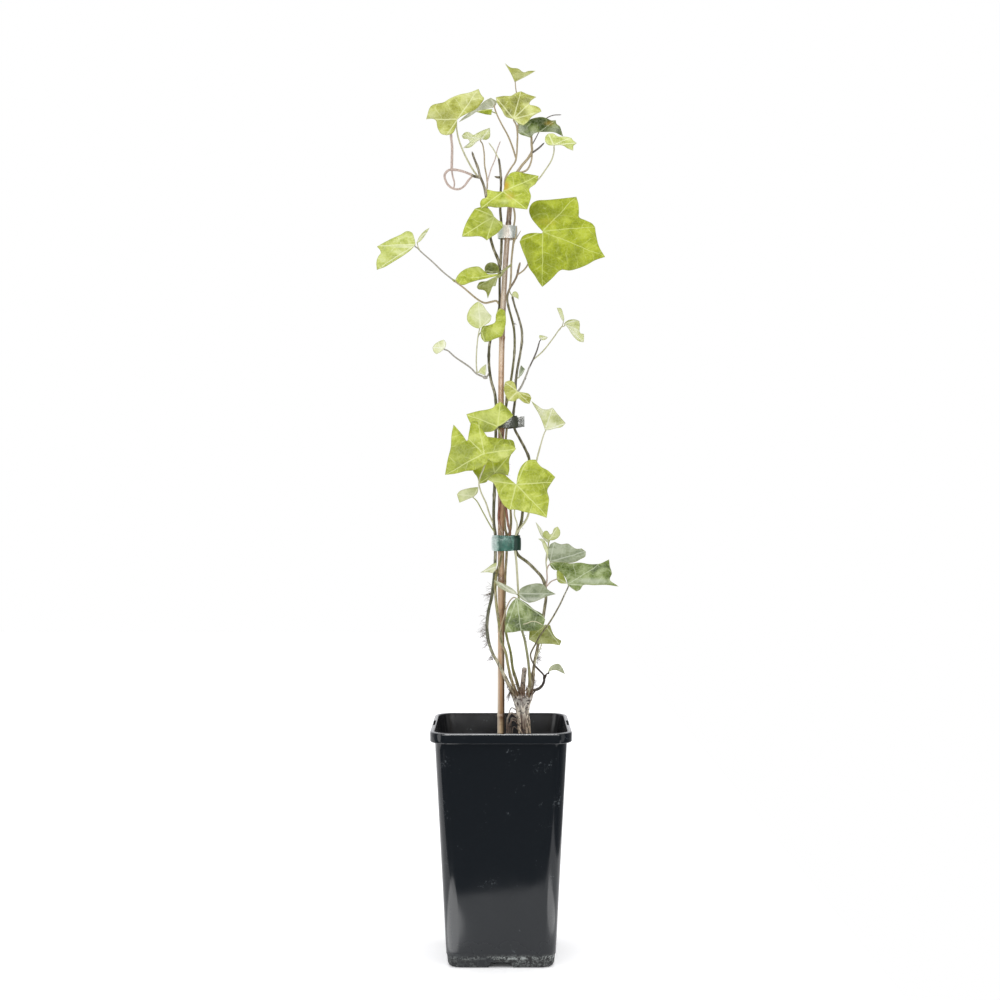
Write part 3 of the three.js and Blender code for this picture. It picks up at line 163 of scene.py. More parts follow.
def add_node(
    tree: bpy.types.NodeTree, kind: str, *inputs: object, out: int | str = 0, stops: Stops = (),
    **settings: object,
) -> Socket | None:
    """Adds a node with its settings, its socket values and its links.

    Args:
        tree: the node tree that it goes into.
        kind: Blender's name for the node, without "ShaderNode", and its operation after a colon.
        inputs: a value or the output that feeds it, for each input from the first, and then a
            dictionary of those for inputs by number or name.
        out: the number or name of the output that is wanted.
        stops: for a colour ramp, its places from 0 to 1 and their hex colours.
        settings: the node's own properties.

    Returns:
        The output that is wanted, if the node has one.
    """
    kind, _, operation = kind.partition(":")
    node = tree.nodes.new("ShaderNode" + kind)
    if operation:
        node.operation = operation
    for name, value in settings.items():
        setattr(node, name, value)
    sockets: Sockets = {}
    for i, value in enumerate(inputs):
        sockets.update(value if isinstance(value, dict) else {i: value})
    set_sockets(tree, node, sockets)
    if stops:
        elements = node.color_ramp.elements
        while len(elements) > 1:
            elements.remove(elements[-1])
        elements[0].position, elements[0].color = stops[0][0], linear(stops[0][1])
        for position, colour in stops[1:]:
            elements.new(position).color = linear(colour)
    return node.outputs[out] if node.outputs else None


def new_material(name: str) -> tuple[Material, Adder, Socket]:
    """Makes a material that holds its shader and the object's coordinates.

    Args:
        name: the material's name.

    Returns:
        The material, the call that adds a node to it, and the coordinates.
    """
    material = bpy.data.materials.new(name)
    material.use_nodes = True
    add = partial(add_node, material.node_tree)
    return material, add, add("TexCoord", out="Object")


def dress(material: Material, sockets: Sockets) -> Material:
    """Sets the shader of a material.

    Args:
        material: the material.
        sockets: for each of the shader's inputs, a value or the output that feeds it.

    Returns:
        The material.
    """
    tree = material.node_tree
    set_sockets(tree, next(n for n in tree.nodes if n.type == "BSDF_PRINCIPLED"), sockets)
    return material


def height_ramp(stops: Stops) -> tuple[float, float, Stops]:
    """Spreads colours that are given by their place in millimetres over 0 to 1.

    Args:
        stops: places in millimetres and hex colours, in rising order.

    Returns:
        The lowest and highest place in metres, and the stops from 0 to 1.
    """
    low, high = stops[0][0], stops[-1][0]
    spread = tuple(((place - low) / (high - low), colour) for place, colour in stops)
    return low * MM, high * MM, spread


@dataclass(frozen=True)
class LeafFinish:
    """Leaf skin: waxy tissue with pale veins, which scatters more light than it mirrors.

    The tissue is mottled in patches of about 9 mm, broken up by cells of about 2 mm. The veins follow
    three values that each blade carries: `fan` counts the main veins round the stalk, `reach` is the
    distance from the stalk and `gap` is the width between main veins there.
    """

    name: str
    shade: str
    blade: str
    light: str
    vein: str
    pale: str
    dark: str
    warm: str = "#c9a02c"
    rim: str = "#8a8c48"
    vein_strength: float = 0.7
    net_strength: float = 0.14
    roughness: float = 0.5
    side_spacing: float = 8.5
    net_scale: float = 330.0

    def material(self) -> Material:
        """Builds the leaf material.

        Returns:
            The material.
        """
        material, add, place = new_material(self.name)
        value = {key: add("Attribute", out="Fac", attribute_name=key) for key in BLADE_VALUES}
        veins = self.veins(add, place, value)
        patch = add("TexNoise", {"Vector": place, "Scale": 90.0, "Detail": 4.0, "Distortion": 0.5})
        cells = add("TexNoise", {"Vector": place, "Scale": 520.0, "Detail": 3.0})
        mottle = add("Math:MULTIPLY_ADD", cells, 0.25, patch)
        stops = ((0.48, self.shade), (0.625, self.blade), (0.78, self.light))
        colour = add("ValToRGB", mottle, stops=stops)
        edge = add("MapRange", value["rim"], 0.1, 0.8, 0.4, 0.0)
        patchy = add("Math:MULTIPLY", mottle, 1.5)
        # The pale and dark marks are partly the blade's own patches and partly painted highlight and painted
        # shade.
        coats = [(value["dark"], self.dark), (value["warm"], self.warm), (value["pale"], self.pale)]
        coats = [(add("Math:MULTIPLY", patchy, v, use_clamp=True), c) for v, c in coats]
        coats.insert(1, (veins, self.vein))
        for amount, tone in (*coats, (edge, self.rim)):
            colour = add("Mix", amount, {6: colour, 7: linear(tone)}, out=2, data_type="RGBA")
        pores = add("TexNoise", {"Vector": place, "Scale": 1400.0, "Detail": 2.0})
        height = add("Math:MULTIPLY_ADD", pores, 0.25, veins)
        bump = add("Bump", {"Strength": 0.35, "Distance": 0.0003, "Height": height})
        shine = {"Roughness": self.roughness, "IOR": 1.42, "Specular IOR Level": 0.22}
        return dress(material, {"Base Color": colour, "Normal": bump, **shine})

    def veins(self, add: Adder, place: Socket, value: dict[str, Socket]) -> Socket:
        """Draws the main veins, the side veins that leave them and the fine net between.

        Args:
            add: the call that adds a node.
            place: object coordinates.
            value: the blade's own values.

        Returns:
            How much vein there is, from 0 to 1.
        """
        waver = add("TexNoise", {"Vector": place, "Scale": 70.0, "Detail": 2.0})
        fan = add("Math:MULTIPLY_ADD", waver, 0.1, value["fan"])
        fan = add("Math:SUBTRACT", fan, 0.05)
        whole = add("Math:ROUND", fan)
        offset = add("Math:SUBTRACT", fan, whole)
        near = add("Math:ABSOLUTE", offset)
        away = add("Math:MULTIPLY", near, value["gap"])
        width = add("MapRange", value["reach"], {2: 50.0, 3: 0.58, 4: 0.18})
        ratio = add("Math:DIVIDE", away, width)
        main = add("MapRange", ratio, 0.45, 1.6, 1.0, 0.0, interpolation_type="SMOOTHSTEP")
        turned = add("Math:GREATER_THAN", offset, 0.0)
        along = add("Math:MULTIPLY_ADD", away, -0.75, value["reach"])
        row = add("Math:MULTIPLY_ADD", along, 1 / self.side_spacing, waver)
        row = add("Math:MULTIPLY_ADD", turned, 0.5, row)
        side = add("Math:PINGPONG", row, 0.5)
        thin, wide = 0.12 / self.side_spacing, 0.7 / self.side_spacing
        side = add("MapRange", side, thin, wide, 0.62, 0.0)
        gone = add("TexNoise", {"Vector": place, "Scale": 160.0, "Detail": 1.0})
        gone = add("MapRange", gone, 0.36, 0.58)
        side = add("Math:MULTIPLY", side, gone)
        cells = add("TexVoronoi", {"Vector": place, "Scale": self.net_scale}, feature="DISTANCE_TO_EDGE")
        net = add("MapRange", cells, 0.02, 0.14, self.net_strength / self.vein_strength, 0.0)
        veins = add("Math:MAXIMUM", main, side)
        veins = add("Math:MAXIMUM", veins, net)
        return add("Math:MULTIPLY", veins, self.vein_strength)


THIN_BARK = (
    (Bark.YOUNG.value, "#b4b87e"), (Bark.FAINT.value, "#d4d2ac"), (Bark.TAN.value, "#c0b090"),
    (Bark.PINK.value, "#d8c4b8"), (Bark.ASH.value, "#b4b0a4"), (Bark.DUSK.value, "#78726a"),
)


@dataclass(frozen=True)
class BarkFinish:
    """Stem skin: dull fibrous bark in long streaks, whose colour changes along the stem.

    The fibres are under 1 mm apart, and pale scars about 4 mm long break the dark streaks up.
    """

    name: str
    stops: Stops
    streak: str = "#3c3524"
    scar: str = "#d6ceb2"
    roughness: float = 0.68
    streak_strength: float = 0.75
    scar_strength: float = 0.55
    low_scar: float = 1.0

    def material(self) -> Material:
        """Builds the bark material.

        Returns:
            The material.
        """
        material, add, place = new_material(self.name)
        height = add("SeparateXYZ", place, out="Z")
        low, high, stops = height_ramp(self.stops)
        along = add("MapRange", height, low, high)
        colour = add("ValToRGB", along, stops=stops)
        skin = add("Attribute", out="Fac", attribute_name="skin")
        thin = add("Math:GREATER_THAN", skin, 0.1)
        thick = add("Math:LESS_THAN", skin, 0.1)
        young = add("ValToRGB", skin, stops=THIN_BARK)
        colour = add("Mix", thin, {6: colour, 7: young}, out=2, data_type="RGBA")
        long = add("Mapping", {"Vector": place, "Scale": (1.0, 1.0, 0.22)})
        fibres = add("TexNoise", {"Vector": long, "Scale": 900.0, "Detail": 4.0, "Roughness": 0.6})
        blotch = add("TexNoise", {"Vector": long, "Scale": 380.0, "Detail": 3.0})
        dark = add("MapRange", fibres, 0.4, 0.52, self.streak_strength, 0.0)
        dark = add("Math:MULTIPLY", dark, add("MapRange", thick, {3: 0.4}))
        scarred = add("MapRange", height, 0.235, 0.27, self.low_scar, self.scar_strength)
        scar = add("MapRange", blotch, 0.52, 0.62, {4: scarred})
        scar = add("Math:MULTIPLY", scar, thick)
        for amount, tone in ((scar, self.scar), (dark, self.streak)):
            colour = add("Mix", amount, {6: colour, 7: linear(tone)}, out=2, data_type="RGBA")
        bump = add("Bump", {"Strength": 0.5, "Distance": 0.0003, "Height": fibres})
        shine = {"Roughness": self.roughness, "IOR": 1.45, "Specular IOR Level": 0.12}
        return dress(material, {"Base Color": colour, "Normal": bump, **shine})


@dataclass(frozen=True)
class HairFinish:
    """Dry root hairs: thin dead fibres, matt and brown."""

    name: str = "root_hair"
    colour: str = "#4a3c30"
    tip: str = "#93836c"

    def material(self) -> Material:
        """Builds the hair material.

        Returns:
            The material.
        """
        material, add, place = new_material(self.name)
        mottle = add("TexNoise", {"Vector": place, "Scale": 400.0, "Detail": 2.0})
        mottle = add("MapRange", mottle, 0.4, 0.65)
        colour = add("ValToRGB", mottle, stops=((0.0, self.colour), (1.0, self.tip)))
        return dress(material, {"Base Color": colour, "Roughness": 0.85, "Specular IOR Level": 0.2})


@dataclass(frozen=True)
class PotFinish:
    """Injection-moulded polypropylene: near black and glossy, scuffed in handling, matt at its foot."""

    name: str = "moulded_polypropylene"
    colour: str = "#191d21"
    dust: str = "#a3a9a6"
    grime: str = "#1a1b1b"
    scuff: str = "#7d8488"
    inside_painted_light: str = "#202123"
    roughness: float = 0.1

    def material(self) -> Material:
        """Builds the pot's material.

        Returns:
            The material.
        """
        material, add, place = new_material(self.name)
        height = add("SeparateXYZ", place, out="Z")
        speck = add("TexNoise", {"Vector": place, "Scale": 420.0, "Detail": 8.0, "Roughness": 0.75})
        smear = add("TexNoise", {"Vector": place, "Scale": 55.0, "Detail": 3.0})
        # Handling marks gather in the upper third, where the pot is gripped.
        grip = add("MapRange", height, 0.11, 0.165, -0.03, 0.0)
        marks = add("Math:MULTIPLY", speck, smear)
        marks = add("Math:ADD", marks, grip)
        marks = add("MapRange", marks, 0.35, 0.45, {4: 0.55})
        foot = add("MapRange", height, 0.0095, 0.0125, 1.0, 0.0)
        ring = add("Math:COMPARE", height, 0.0088, 0.0014)
        chafe = add("MapRange", speck, 0.47, 0.57)
        chafe = add("Math:MULTIPLY", chafe, add("MapRange", ring, {3: 0.3, 4: 0.9}))
        worn = add("MapRange", smear, 0.4, 0.6, 0.15, 1.0)
        chafe = add("Math:MULTIPLY", chafe, worn)
        chafe = add("Math:MULTIPLY", chafe, foot)
        grime = add("MapRange", smear, 0.42, 0.55, {4: 0.9})
        grime = add("Math:MULTIPLY", grime, foot)
        colour = add("ValToRGB", speck, stops=((0.3, self.colour), (0.7, "#1b1f23")))
        # Painted light: the inside walls are the same plastic, painted a little lighter to stand in for the
        # light that falls into the pot.
        inside = add("Attribute", out="Fac", attribute_name="inside")
        coats = (inside, self.inside_painted_light), (marks, self.scuff), (grime, self.grime), (chafe, self.dust)
        for amount, tone in coats:
            colour = add("Mix", amount, {6: colour, 7: linear(tone)}, out=2, data_type="RGBA")
        gloss = add("MapRange", smear, 0.3, 0.7, self.roughness - 0.02, self.roughness + 0.04)
        rubbed = add("MapRange", height, 0.02, 0.06, 0.17, 0.0)
        for matt, more in ((foot, 0.4), (inside, 0.12), (rubbed, 1.0)):
            gloss = add("Math:MULTIPLY_ADD", matt, more, gloss)
        peel = add("TexNoise", {"Vector": place, "Scale": 420.0, "Detail": 2.0})
        bump = add("Bump", {"Strength": 0.02, "Distance": 0.0003, "Height": peel})
        shine = {"Roughness": gloss, "Specular IOR Level": 0.4}
        return dress(material, {"Base Color": colour, "Normal": bump, **shine})


@dataclass(frozen=True)
class CompostFinish:
    """Potting compost: dark crumbs with lighter fibres."""

    name: str = "potting_compost"
    crumb: str = "#1f1610"
    fibre: str = "#6a4c30"

    def material(self) -> Material:
        """Builds the compost material.

        Returns:
            The material.
        """
        material, add, place = new_material(self.name)
        crumbs = add("TexVoronoi", {"Vector": place, "Scale": 260.0}, out="Color")
        grey = add("SeparateColor", crumbs)
        stops = ((0.0, self.crumb), (0.7, "#33241a"), (0.93, self.fibre), (1.0, "#a58a68"))
        colour = add("ValToRGB", grey, stops=stops)
        grain = add("TexNoise", {"Vector": place, "Scale": 700.0, "Detail": 5.0})
        bump = add("Bump", {"Strength": 0.9, "Distance": 0.001, "Height": grain})
        return dress(material, {"Base Color": colour, "Normal": bump, "Roughness": 0.95})


@dataclass(frozen=True)
class TapeFinish:
    """Plastic tying tape: soft PVC strip, glossy and stained, with painted light across it from left to
    right.
    """

    name: str
    stops: Stops
    stain: str = "#1c211d"
    stain_amount: float = 0.6

    def material(self) -> Material:
        """Builds the tape material.

        Returns:
            The material.
        """
        material, add, place = new_material(self.name)
        # The ramp across the tape is its own colour with painted light over it: painted highlight on the left
        # and in bands, painted shade on the right.
        across = add("SeparateXYZ", place, out="X")
        low, high, stops = height_ramp(self.stops)
        ripple = add("TexNoise", {"Vector": place, "Scale": 260.0, "Detail": 3.0})
        shift = add("Math:SUBTRACT", ripple, 0.5)
        across = add("Math:MULTIPLY_ADD", shift, 0.006, across)
        colour = add("ValToRGB", add("MapRange", across, low, high), stops=stops)
        dirt = add("TexNoise", {"Vector": place, "Scale": 700.0, "Detail": 5.0, "Roughness": 0.7})
        spots = add("MapRange", dirt, 0.56, 0.64, {4: self.stain_amount})
        bump = add("Bump", {"Strength": 0.5, "Distance": 0.0006, "Height": ripple})
        colour = add("Mix", spots, {6: colour, 7: linear(self.stain)}, out=2, data_type="RGBA")
        return dress(material, {"Base Color": colour, "Normal": bump, "Roughness": 0.3, "IOR": 1.53})


@dataclass(frozen=True)
class FloorFinish:
    """Pale painted board, matt."""

    name: str = "pale_board"
    colour: str = "#f8f8f7"
    glow: float = 0.35
    pot_half: float = 0.046

    def material(self) -> Material:
        """Builds the floor's material, which glows a little so that soft shadows stay pale.

        Returns:
            The material.
        """
        material, add, place = new_material(self.name)
        grain = add("TexNoise", {"Vector": place, "Scale": 40.0, "Detail": 2.0})
        colour = add("ValToRGB", grain, stops=((0.3, self.colour), (0.7, "#fcfcfc")))
        # The board stays dark under the pot, where the drain channels look in.
        sides = [add("SeparateXYZ", place, out=axis) for axis in "XY"]
        sides = [add("Math:ABSOLUTE", side) for side in sides]
        out = add("Math:MAXIMUM", sides[0], sides[1])
        glow = add("MapRange", out, self.pot_half - 0.006, self.pot_half, {4: self.glow})
        shine = {"Roughness": 0.9, "Specular IOR Level": 0.1, "Emission Color": linear("#ffffff")}
        return dress(material, {"Base Color": colour, "Emission Strength": glow, **shine})


# ---- Hand tools ---------------------------------------------------------------------------


def seen(place: Place) -> Vector:
    """The real place, in metres, of a point on the line of sight through x and z.

    Args:
        place: x, z and depth in millimetres.

    Returns:
        The point in the frame.
    """
    x, z, depth = place
    grow = 1 + depth / EYE_DISTANCE
    return Vector((x * grow, depth, EYE_HEIGHT + (z - EYE_HEIGHT) * grow)) * MM


def pick_only(piece: Piece) -> None:
    """Selects one piece and nothing else.

    Args:
        piece: the piece to work on.
    """
    bpy.ops.object.select_all(action="DESELECT")
    piece.select_set(True)
    bpy.context.view_layer.objects.active = piece


@contextmanager
def editing(piece: Piece) -> Iterator[None]:
    """Opens a piece in edit mode with all its edges selected, and closes it at the end.

    Args:
        piece: the piece to work on.

    Returns:
        The context to work in.
    """
    pick_only(piece)
    bpy.ops.object.mode_set(mode="EDIT")
    bpy.ops.mesh.select_mode(type="EDGE")
    bpy.ops.mesh.select_all(action="SELECT")
    yield
    bpy.ops.object.mode_set(mode="OBJECT")


def face_outwards() -> None:
    """Turns all faces of the piece in edit mode outwards."""
    bpy.ops.mesh.select_all(action="SELECT")
    bpy.ops.mesh.normals_make_consistent(inside=False)


def finish_with(piece: Piece, kind: str, **settings: object) -> None:
    """Adds a modifier and applies it.

    Args:
        piece: the piece that it shapes.
        kind: Blender's name for the modifier.
        settings: the modifier's own properties.
    """
    pick_only(piece)
    modifier = piece.modifiers.new(kind.lower(), kind)
    for name, value in settings.items():
        setattr(modifier, name, value)
    bpy.ops.object.modifier_apply(modifier=modifier.name)


def join_pieces(name: str, parts: list[Piece]) -> Piece:
    """Joins parts into the first of them.

    Args:
        name: the joined piece's name.
        parts: the parts, each with its own mesh.

    Returns:
        The joined piece.
    """
    pick_only(parts[0])
    for part in parts:
        part.select_set(True)
    if len(parts) > 1:
        bpy.ops.object.join()
    piece = bpy.context.view_layer.objects.active
    piece.name = piece.data.name = name
    return piece


def ring_start(name: str, spots: list[tuple[float, float, float]]) -> Piece:
    """Adds a circle and lays its points on a ring of places.

    Args:
        name: the new piece's name.
        spots: the ring's places in millimetres.

    Returns:
        The new piece, an open ring.
    """
    bpy.ops.object.select_all(action="DESELECT")
    bpy.ops.mesh.primitive_circle_add(vertices=len(spots), radius=0.01, fill_type="NOTHING")
    piece = bpy.context.object
    piece.name = piece.data.name = name
    for vertex, spot in zip(piece.data.vertices, spots):
        vertex.co = Vector(spot) * MM
    return piece


def pull_rings(piece: Piece, size: float, height: float, rows: tuple[tuple[float, float], ...]) -> None:
    """Extrudes a ring upright through rows and closes both ends.

    Args:
        piece: an open ring, lying flat.
        size: the ring's size now, in millimetres.
        height: the ring's height now, in millimetres.
        rows: for each further ring, its size and height.
    """
    with editing(piece):
        for new_size, new_height in rows:
            rise = (new_height - height) * MM
            bpy.ops.mesh.extrude_edges_move(TRANSFORM_OT_translate={"value": (0.0, 0.0, rise)})
            bpy.ops.transform.resize(
                value=(new_size / size, new_size / size, 1.0), center_override=(0.0, 0.0, new_height * MM)
            )
            size, height = new_size, new_height
        bpy.ops.mesh.select_all(action="SELECT")
        bpy.ops.mesh.fill_holes(sides=0)
        face_outwards()


def smooth_shade(piece: Piece, degrees: float = 35.0) -> None:
    """Shades a piece smooth up to an angle.

    Args:
        piece: the piece to shade.
        degrees: edges sharper than this stay sharp.
    """
    pick_only(piece)
    bpy.ops.object.shade_smooth_by_angle(angle=math.radians(degrees))


def mark_all(piece: Piece, **values: float) -> None:
    """Gives every point of a piece the same values.

    Args:
        piece: the piece to mark.
        values: each attribute's name and value.
    """
    for name, value in values.items():
        attribute = piece.data.attributes.new(name, "FLOAT", "POINT")
        attribute.data.foreach_set("value", [value] * len(piece.data.vertices))


def smooth_path(points: list[Vector], step: float) -> list[Vector]:
    """Follows a smooth curve through points.

    Args:
        points: the points, in metres.
        step: the longest step, in metres.

    Returns:
        The curve as closely spaced points.
    """
    ends = [2 * points[0] - points[1], *points, 2 * points[-1] - points[-2]]
    path = [points[0].copy()]
    for before, start, end, after in zip(ends, ends[1:], ends[2:], ends[3:]):
        spans = [max(1e-7, (b - a).length ** 0.5) for a, b in ((before, start), (start, end), (end, after))]
        leave = (start - before) / spans[0] - (end - before) / (spans[0] + spans[1])
        leave = (leave + (end - start) / spans[1]) * spans[1]
        arrive = (end - start) / spans[1] - (after - start) / (spans[1] + spans[2])
        arrive = (arrive + (after - end) / spans[2]) * spans[1]
        count = max(1, math.ceil((end - start).length / step))
        for i in range(1, count + 1):
            t = i / count
            path.append(
                start * (2 * t**3 - 3 * t**2 + 1)
                + leave * (t**3 - 2 * t**2 + t)
                + end * (3 * t**2 - 2 * t**3)
                + arrive * (t**3 - t**2)
            )
    return path


def tubes(name: str, runs: list[Run], radius: float, detail: int) -> Piece:
    """Turns paths into capped tubes in one mesh.

    Args:
        name: the new piece's name.
        runs: for each tube, its path in metres and its thickness at each point.
        radius: the tube's radius where the thickness is 1, in millimetres.
        detail: how round the tube is, 0 for four sides.

    Returns:
        The new piece.
    """
    bpy.ops.object.select_all(action="DESELECT")
    bpy.ops.curve.primitive_bezier_curve_add()
    piece = bpy.context.object
    piece.name = name
    line = piece.data
    line.name = name
    line.splines.clear()
    line.dimensions = "3D"
    line.bevel_depth = radius * MM
    line.bevel_resolution = detail
    line.use_fill_caps = True
    for path, thickness in runs:
        spline = line.splines.new("POLY")
        spline.points.add(len(path) - 1)
        for point, spot, thick in zip(spline.points, path, thickness):
            point.co = (*spot, 1.0)
            point.radius = thick
    pick_only(piece)
    bpy.ops.object.convert(target="MESH")
    return bpy.context.object


# ---- Leaves and shoots as tables ----------------------------------------------------------


def places(text: str) -> tuple[tuple[float, ...], ...]:
    """Reads places in millimetres, set apart by commas.

    Args:
        text: each place's numbers, with a star after the place of a lobe's tip.

    Returns:
        The places, with TIP as the last number of a lobe's tip.
    """
    spots = (spot.replace("*", f" {TIP}").split() for spot in text.split(","))
    return tuple(tuple(float(number) for number in spot) for spot in spots)


@dataclass(frozen=True)
class Mark:
    """A soft oval of another tone on a blade."""

    tone: Tone
    at: tuple[float, float]
    half: tuple[float, float]
    strength: float

    @classmethod
    def read(cls, text: str) -> Mark:
        """Reads a mark from its tone, place, half sizes and strength.

        Args:
            text: the tone's name and five numbers.

        Returns:
            The mark.
        """
        tone, *numbers = text.split()
        x, z, half_x, half_z, strength = (float(number) for number in numbers)
        return cls(Tone(tone), (x, z), (half_x, half_z), strength)

    def amount(self, x: float, z: float) -> float:
        """How strong the mark is at a place.

        Args:
            x: the place, in millimetres.
            z: the place, in millimetres.

        Returns:
            The strength, falling off softly from the middle.
        """
        across = (x - self.at[0]) / self.half[0]
        up = (z - self.at[1]) / self.half[1]
        return self.strength * math.exp(-((across**2 + up**2) ** 1.5))


@dataclass(frozen=True)
class Blade:
    """One leaf blade: its edge from the stalk round and back, as text, and how it leans in depth."""

    look: Look
    depth: float
    lean: tuple[float, float]
    fold: float
    middle: tuple[float, float]
    line: str

    @cached_property
    def edge(self) -> tuple[tuple[float, ...], ...]:
        """The places of the edge, from the stalk round and back."""
        return places(self.line)

    @property
    def stalk(self) -> tuple[float, float]:
        """Where the stalk meets the blade."""
        return self.edge[0][0], self.edge[0][1]

    def depth_at(self, x: float, z: float) -> float:
        """The blade's depth at a place.

        Args:
            x: the place, in millimetres.
            z: the place, in millimetres.

        Returns:
            The depth in millimetres.
        """
        right, up = x - self.stalk[0], z - self.stalk[1]
        rib = Vector((self.middle[0] - self.stalk[0], self.middle[1] - self.stalk[1])).normalized()
        across = right * rib.y - up * rib.x
        lift = self.fold * (math.sqrt(across**2 + 4) - 2)
        return self.depth + self.lean[0] * right + self.lean[1] * up + lift

    def point(self, x: float, z: float) -> Vector:
        """The real place of a spot on the blade, in metres."""
        return seen((x, z, self.depth_at(x, z)))

    def away(self, x: float, z: float) -> Vector:
        """The blade's normal at a spot, on the side away from the viewer.

        Args:
            x: the spot, in millimetres.
            z: the spot, in millimetres.

        Returns:
            The normal, one long.
        """
        right = self.point(x + 0.5, z) - self.point(x - 0.5, z)
        up = self.point(x, z + 0.5) - self.point(x, z - 0.5)
        return up.cross(right).normalized()

    def seat(self, radius: float) -> list[Vector]:
        """The last points of the stalk: from below the blade to its skin.

        Args:
            radius: the stalk's radius in millimetres.

        Returns:
            Two points, in metres.
        """
        rib = Vector((self.middle[0] - self.stalk[0], self.middle[1] - self.stalk[1])).normalized()
        x, z = self.stalk[0] + SEAT_INSET * rib.x, self.stalk[1] + SEAT_INSET * rib.y
        side = self.away(x, z) * (-1 if self.lean[1] < 0 else 1)
        spot = self.point(x, z)
        return [spot + side * (STALK_CLEARANCE + 1.2 + radius) * MM, spot + side * 0.1 * MM]

    def outline(self) -> list[tuple[float, float]]:
        """The edge as a smooth line that is broken at the stalk and at each lobe's tip.

        Returns:
            Closely spaced places, once round from the stalk.
        """
        corners = [i for i, spot in enumerate(self.edge) if i == 0 or len(spot) > 2]
        spots = [Vector((spot[0], 0.0, spot[1])) for spot in self.edge]
        line: list[Vector] = []
        for start, end in zip(corners, [*corners[1:], len(spots)]):
            run = [spots[i % len(spots)] for i in range(start, end + 1)]
            line.extend(smooth_path(run, BLADE_STEP)[:-1])
        return [(spot.x, spot.z) for spot in line]


@dataclass(frozen=True)
class Shoot:
    """One length of stem, stalk or root through places (x, z, depth), which are kept as text."""

    radius: float
    line: str
    bark: Bark | None = None
    leaf: str = ""
    foot: tuple[float, float] | None = None
    end: float = 0.8

    def points(self) -> list[Vector]:
        """The shoot's real places, from an upright foot to the seat under its leaf.

        Returns:
            The places, in metres.
        """
        points = [seen(place) for place in places(self.line)]
        if self.foot:
            x, y = self.foot
            points[:0] = [Vector((x, y, COLLAR_TOP + rise)) * MM for rise in (-0.6, 3.4)]
        if self.leaf:
            points.extend(LEAVES[self.leaf].seat(self.radius))
        return points

    def skin(self) -> Bark:
        """The shoot's bark, which is young on thin shoots unless the table says otherwise."""
        return self.bark or (Bark.OLD if self.radius >= 1.1 else Bark.YOUNG)


@dataclass(frozen=True)
class Hairs:
    """A tuft of short aerial roots round a place on a stem."""

    at: Place
    spread: float
    count: int
    length: float
    way: tuple[float, float]
    radius: float = 0.1


UNDERSIDES = (Look.GREY, Look.OLIVE, Look.MIST)

# Marks on the blades are partly their own patches and partly painted light: pale marks as painted highlight
# and sheen where a blade turns from the light, dark marks as painted shade.
MARKS: dict[str, str] = {
    "leaf_01": "pale 18 767 9 5 0.5",
    "leaf_02": "dark -48 730 9 7 0.55, pale -24 749 9 4 0.4, pale -60 731 4 5 0.4, dark -28 742 8 3 0.4",
    "leaf_03": """dark 1 742 3 5 0.8, dark 7 734 4 4 0.8, dark 13 744 4 5 0.8, dark 22 745 6 3 0.7,
        dark 18 733 5 5 0.7, dark 10 740 9 8 0.3""",
    "leaf_04": "pale -20 736 16 8 0.5",
    "leaf_06": """pale 17 720 5 4 0.95, pale 27 715.5 5 2.5 0.7, pale 47 719.5 6 2.5 0.6,
        warm 42 725 4 2 0.5, dark 34 726 9 3 0.6, dark 51 717 4 4 0.5""",
    "leaf_07": "dark 48 710 9 4 0.3, dark 62 706 4 3 0.4",
    "leaf_08": "dark -16 712.5 2 2 0.6",
    "leaf_09": """warm 4 670 3 4 0.85, warm 8 661 4 3 0.4, pale 3 656 4 2.5 0.6, dark -6 651 9 4 0.5,
        pale 24 672 6 5 0.3""",
    "leaf_10": "dark -22 632 5 7 0.3, pale -8 638 7 9 0.4",
    "leaf_11": """dark 30 645 8 8 0.5, dark 50 645 8 4 0.55, dark 66 610 8 6 0.35, dark 24 605 5 14 0.45,
        dark 42 598 6 6 0.35, pale 48 624 7 5 0.22, pale 18 612 2.5 12 0.5, warm 40 638 9 3 0.18""",
    "leaf_12": "pale -84 616.5 12 1 0.6",
    "leaf_14": "pale -18 584 10 1.5 0.6",
    "leaf_15": "dark -10 594 9 9 1.0",
    "leaf_17": "pale -15 557 9 9 0.8",
    "leaf_19": "dark 62 552 5 1.5 0.7",
    "leaf_21": "pale -54 529 7 7 0.35",
    "leaf_24": "dark 50 466 5 5 0.6, pale 36 480 6 8 0.6",
    "leaf_25": "pale -8 468 14 8 0.3",
    "leaf_26": "pale 2 437 8 6 0.3, dark -36 436 10 8 0.35, dark -24 412 10 5 0.3",
    "leaf_28": "dark 30 412 8 8 0.3, pale -6 412 8 3 0.4",
    "leaf_29": "pale -29 400 12 8 0.6",
    "leaf_30": "pale 37 365 6 10 0.5",
    "leaf_31": "pale 46 365 8 6 0.45",
    "leaf_34": "dark 62 332 9 6 0.25, pale 84 334 10 4 0.15, pale 80 323.5 17 2.6 0.6",
    "leaf_36": "pale 30 308 12 2 0.8",
    "leaf_37": "dark 14 318 8 1.2 0.6",
    "leaf_38": "dark 20 282 9 7 0.6, dark 30 290 6 6 0.5",
    "leaf_39": "dark 34 266 8 4 0.2",
    "leaf_41": "pale -10 335 9 5 0.5",
}

VEIN_ENDS: dict[str, tuple[tuple[float, float], ...]] = {
    "leaf_28": ((40, 381), (42, 410), (22, 428), (8, 388), (-12, 412)),
}
VEIN_STARTS: dict[str, tuple[float, float]] = {"leaf_26": (-15, 435.6)}

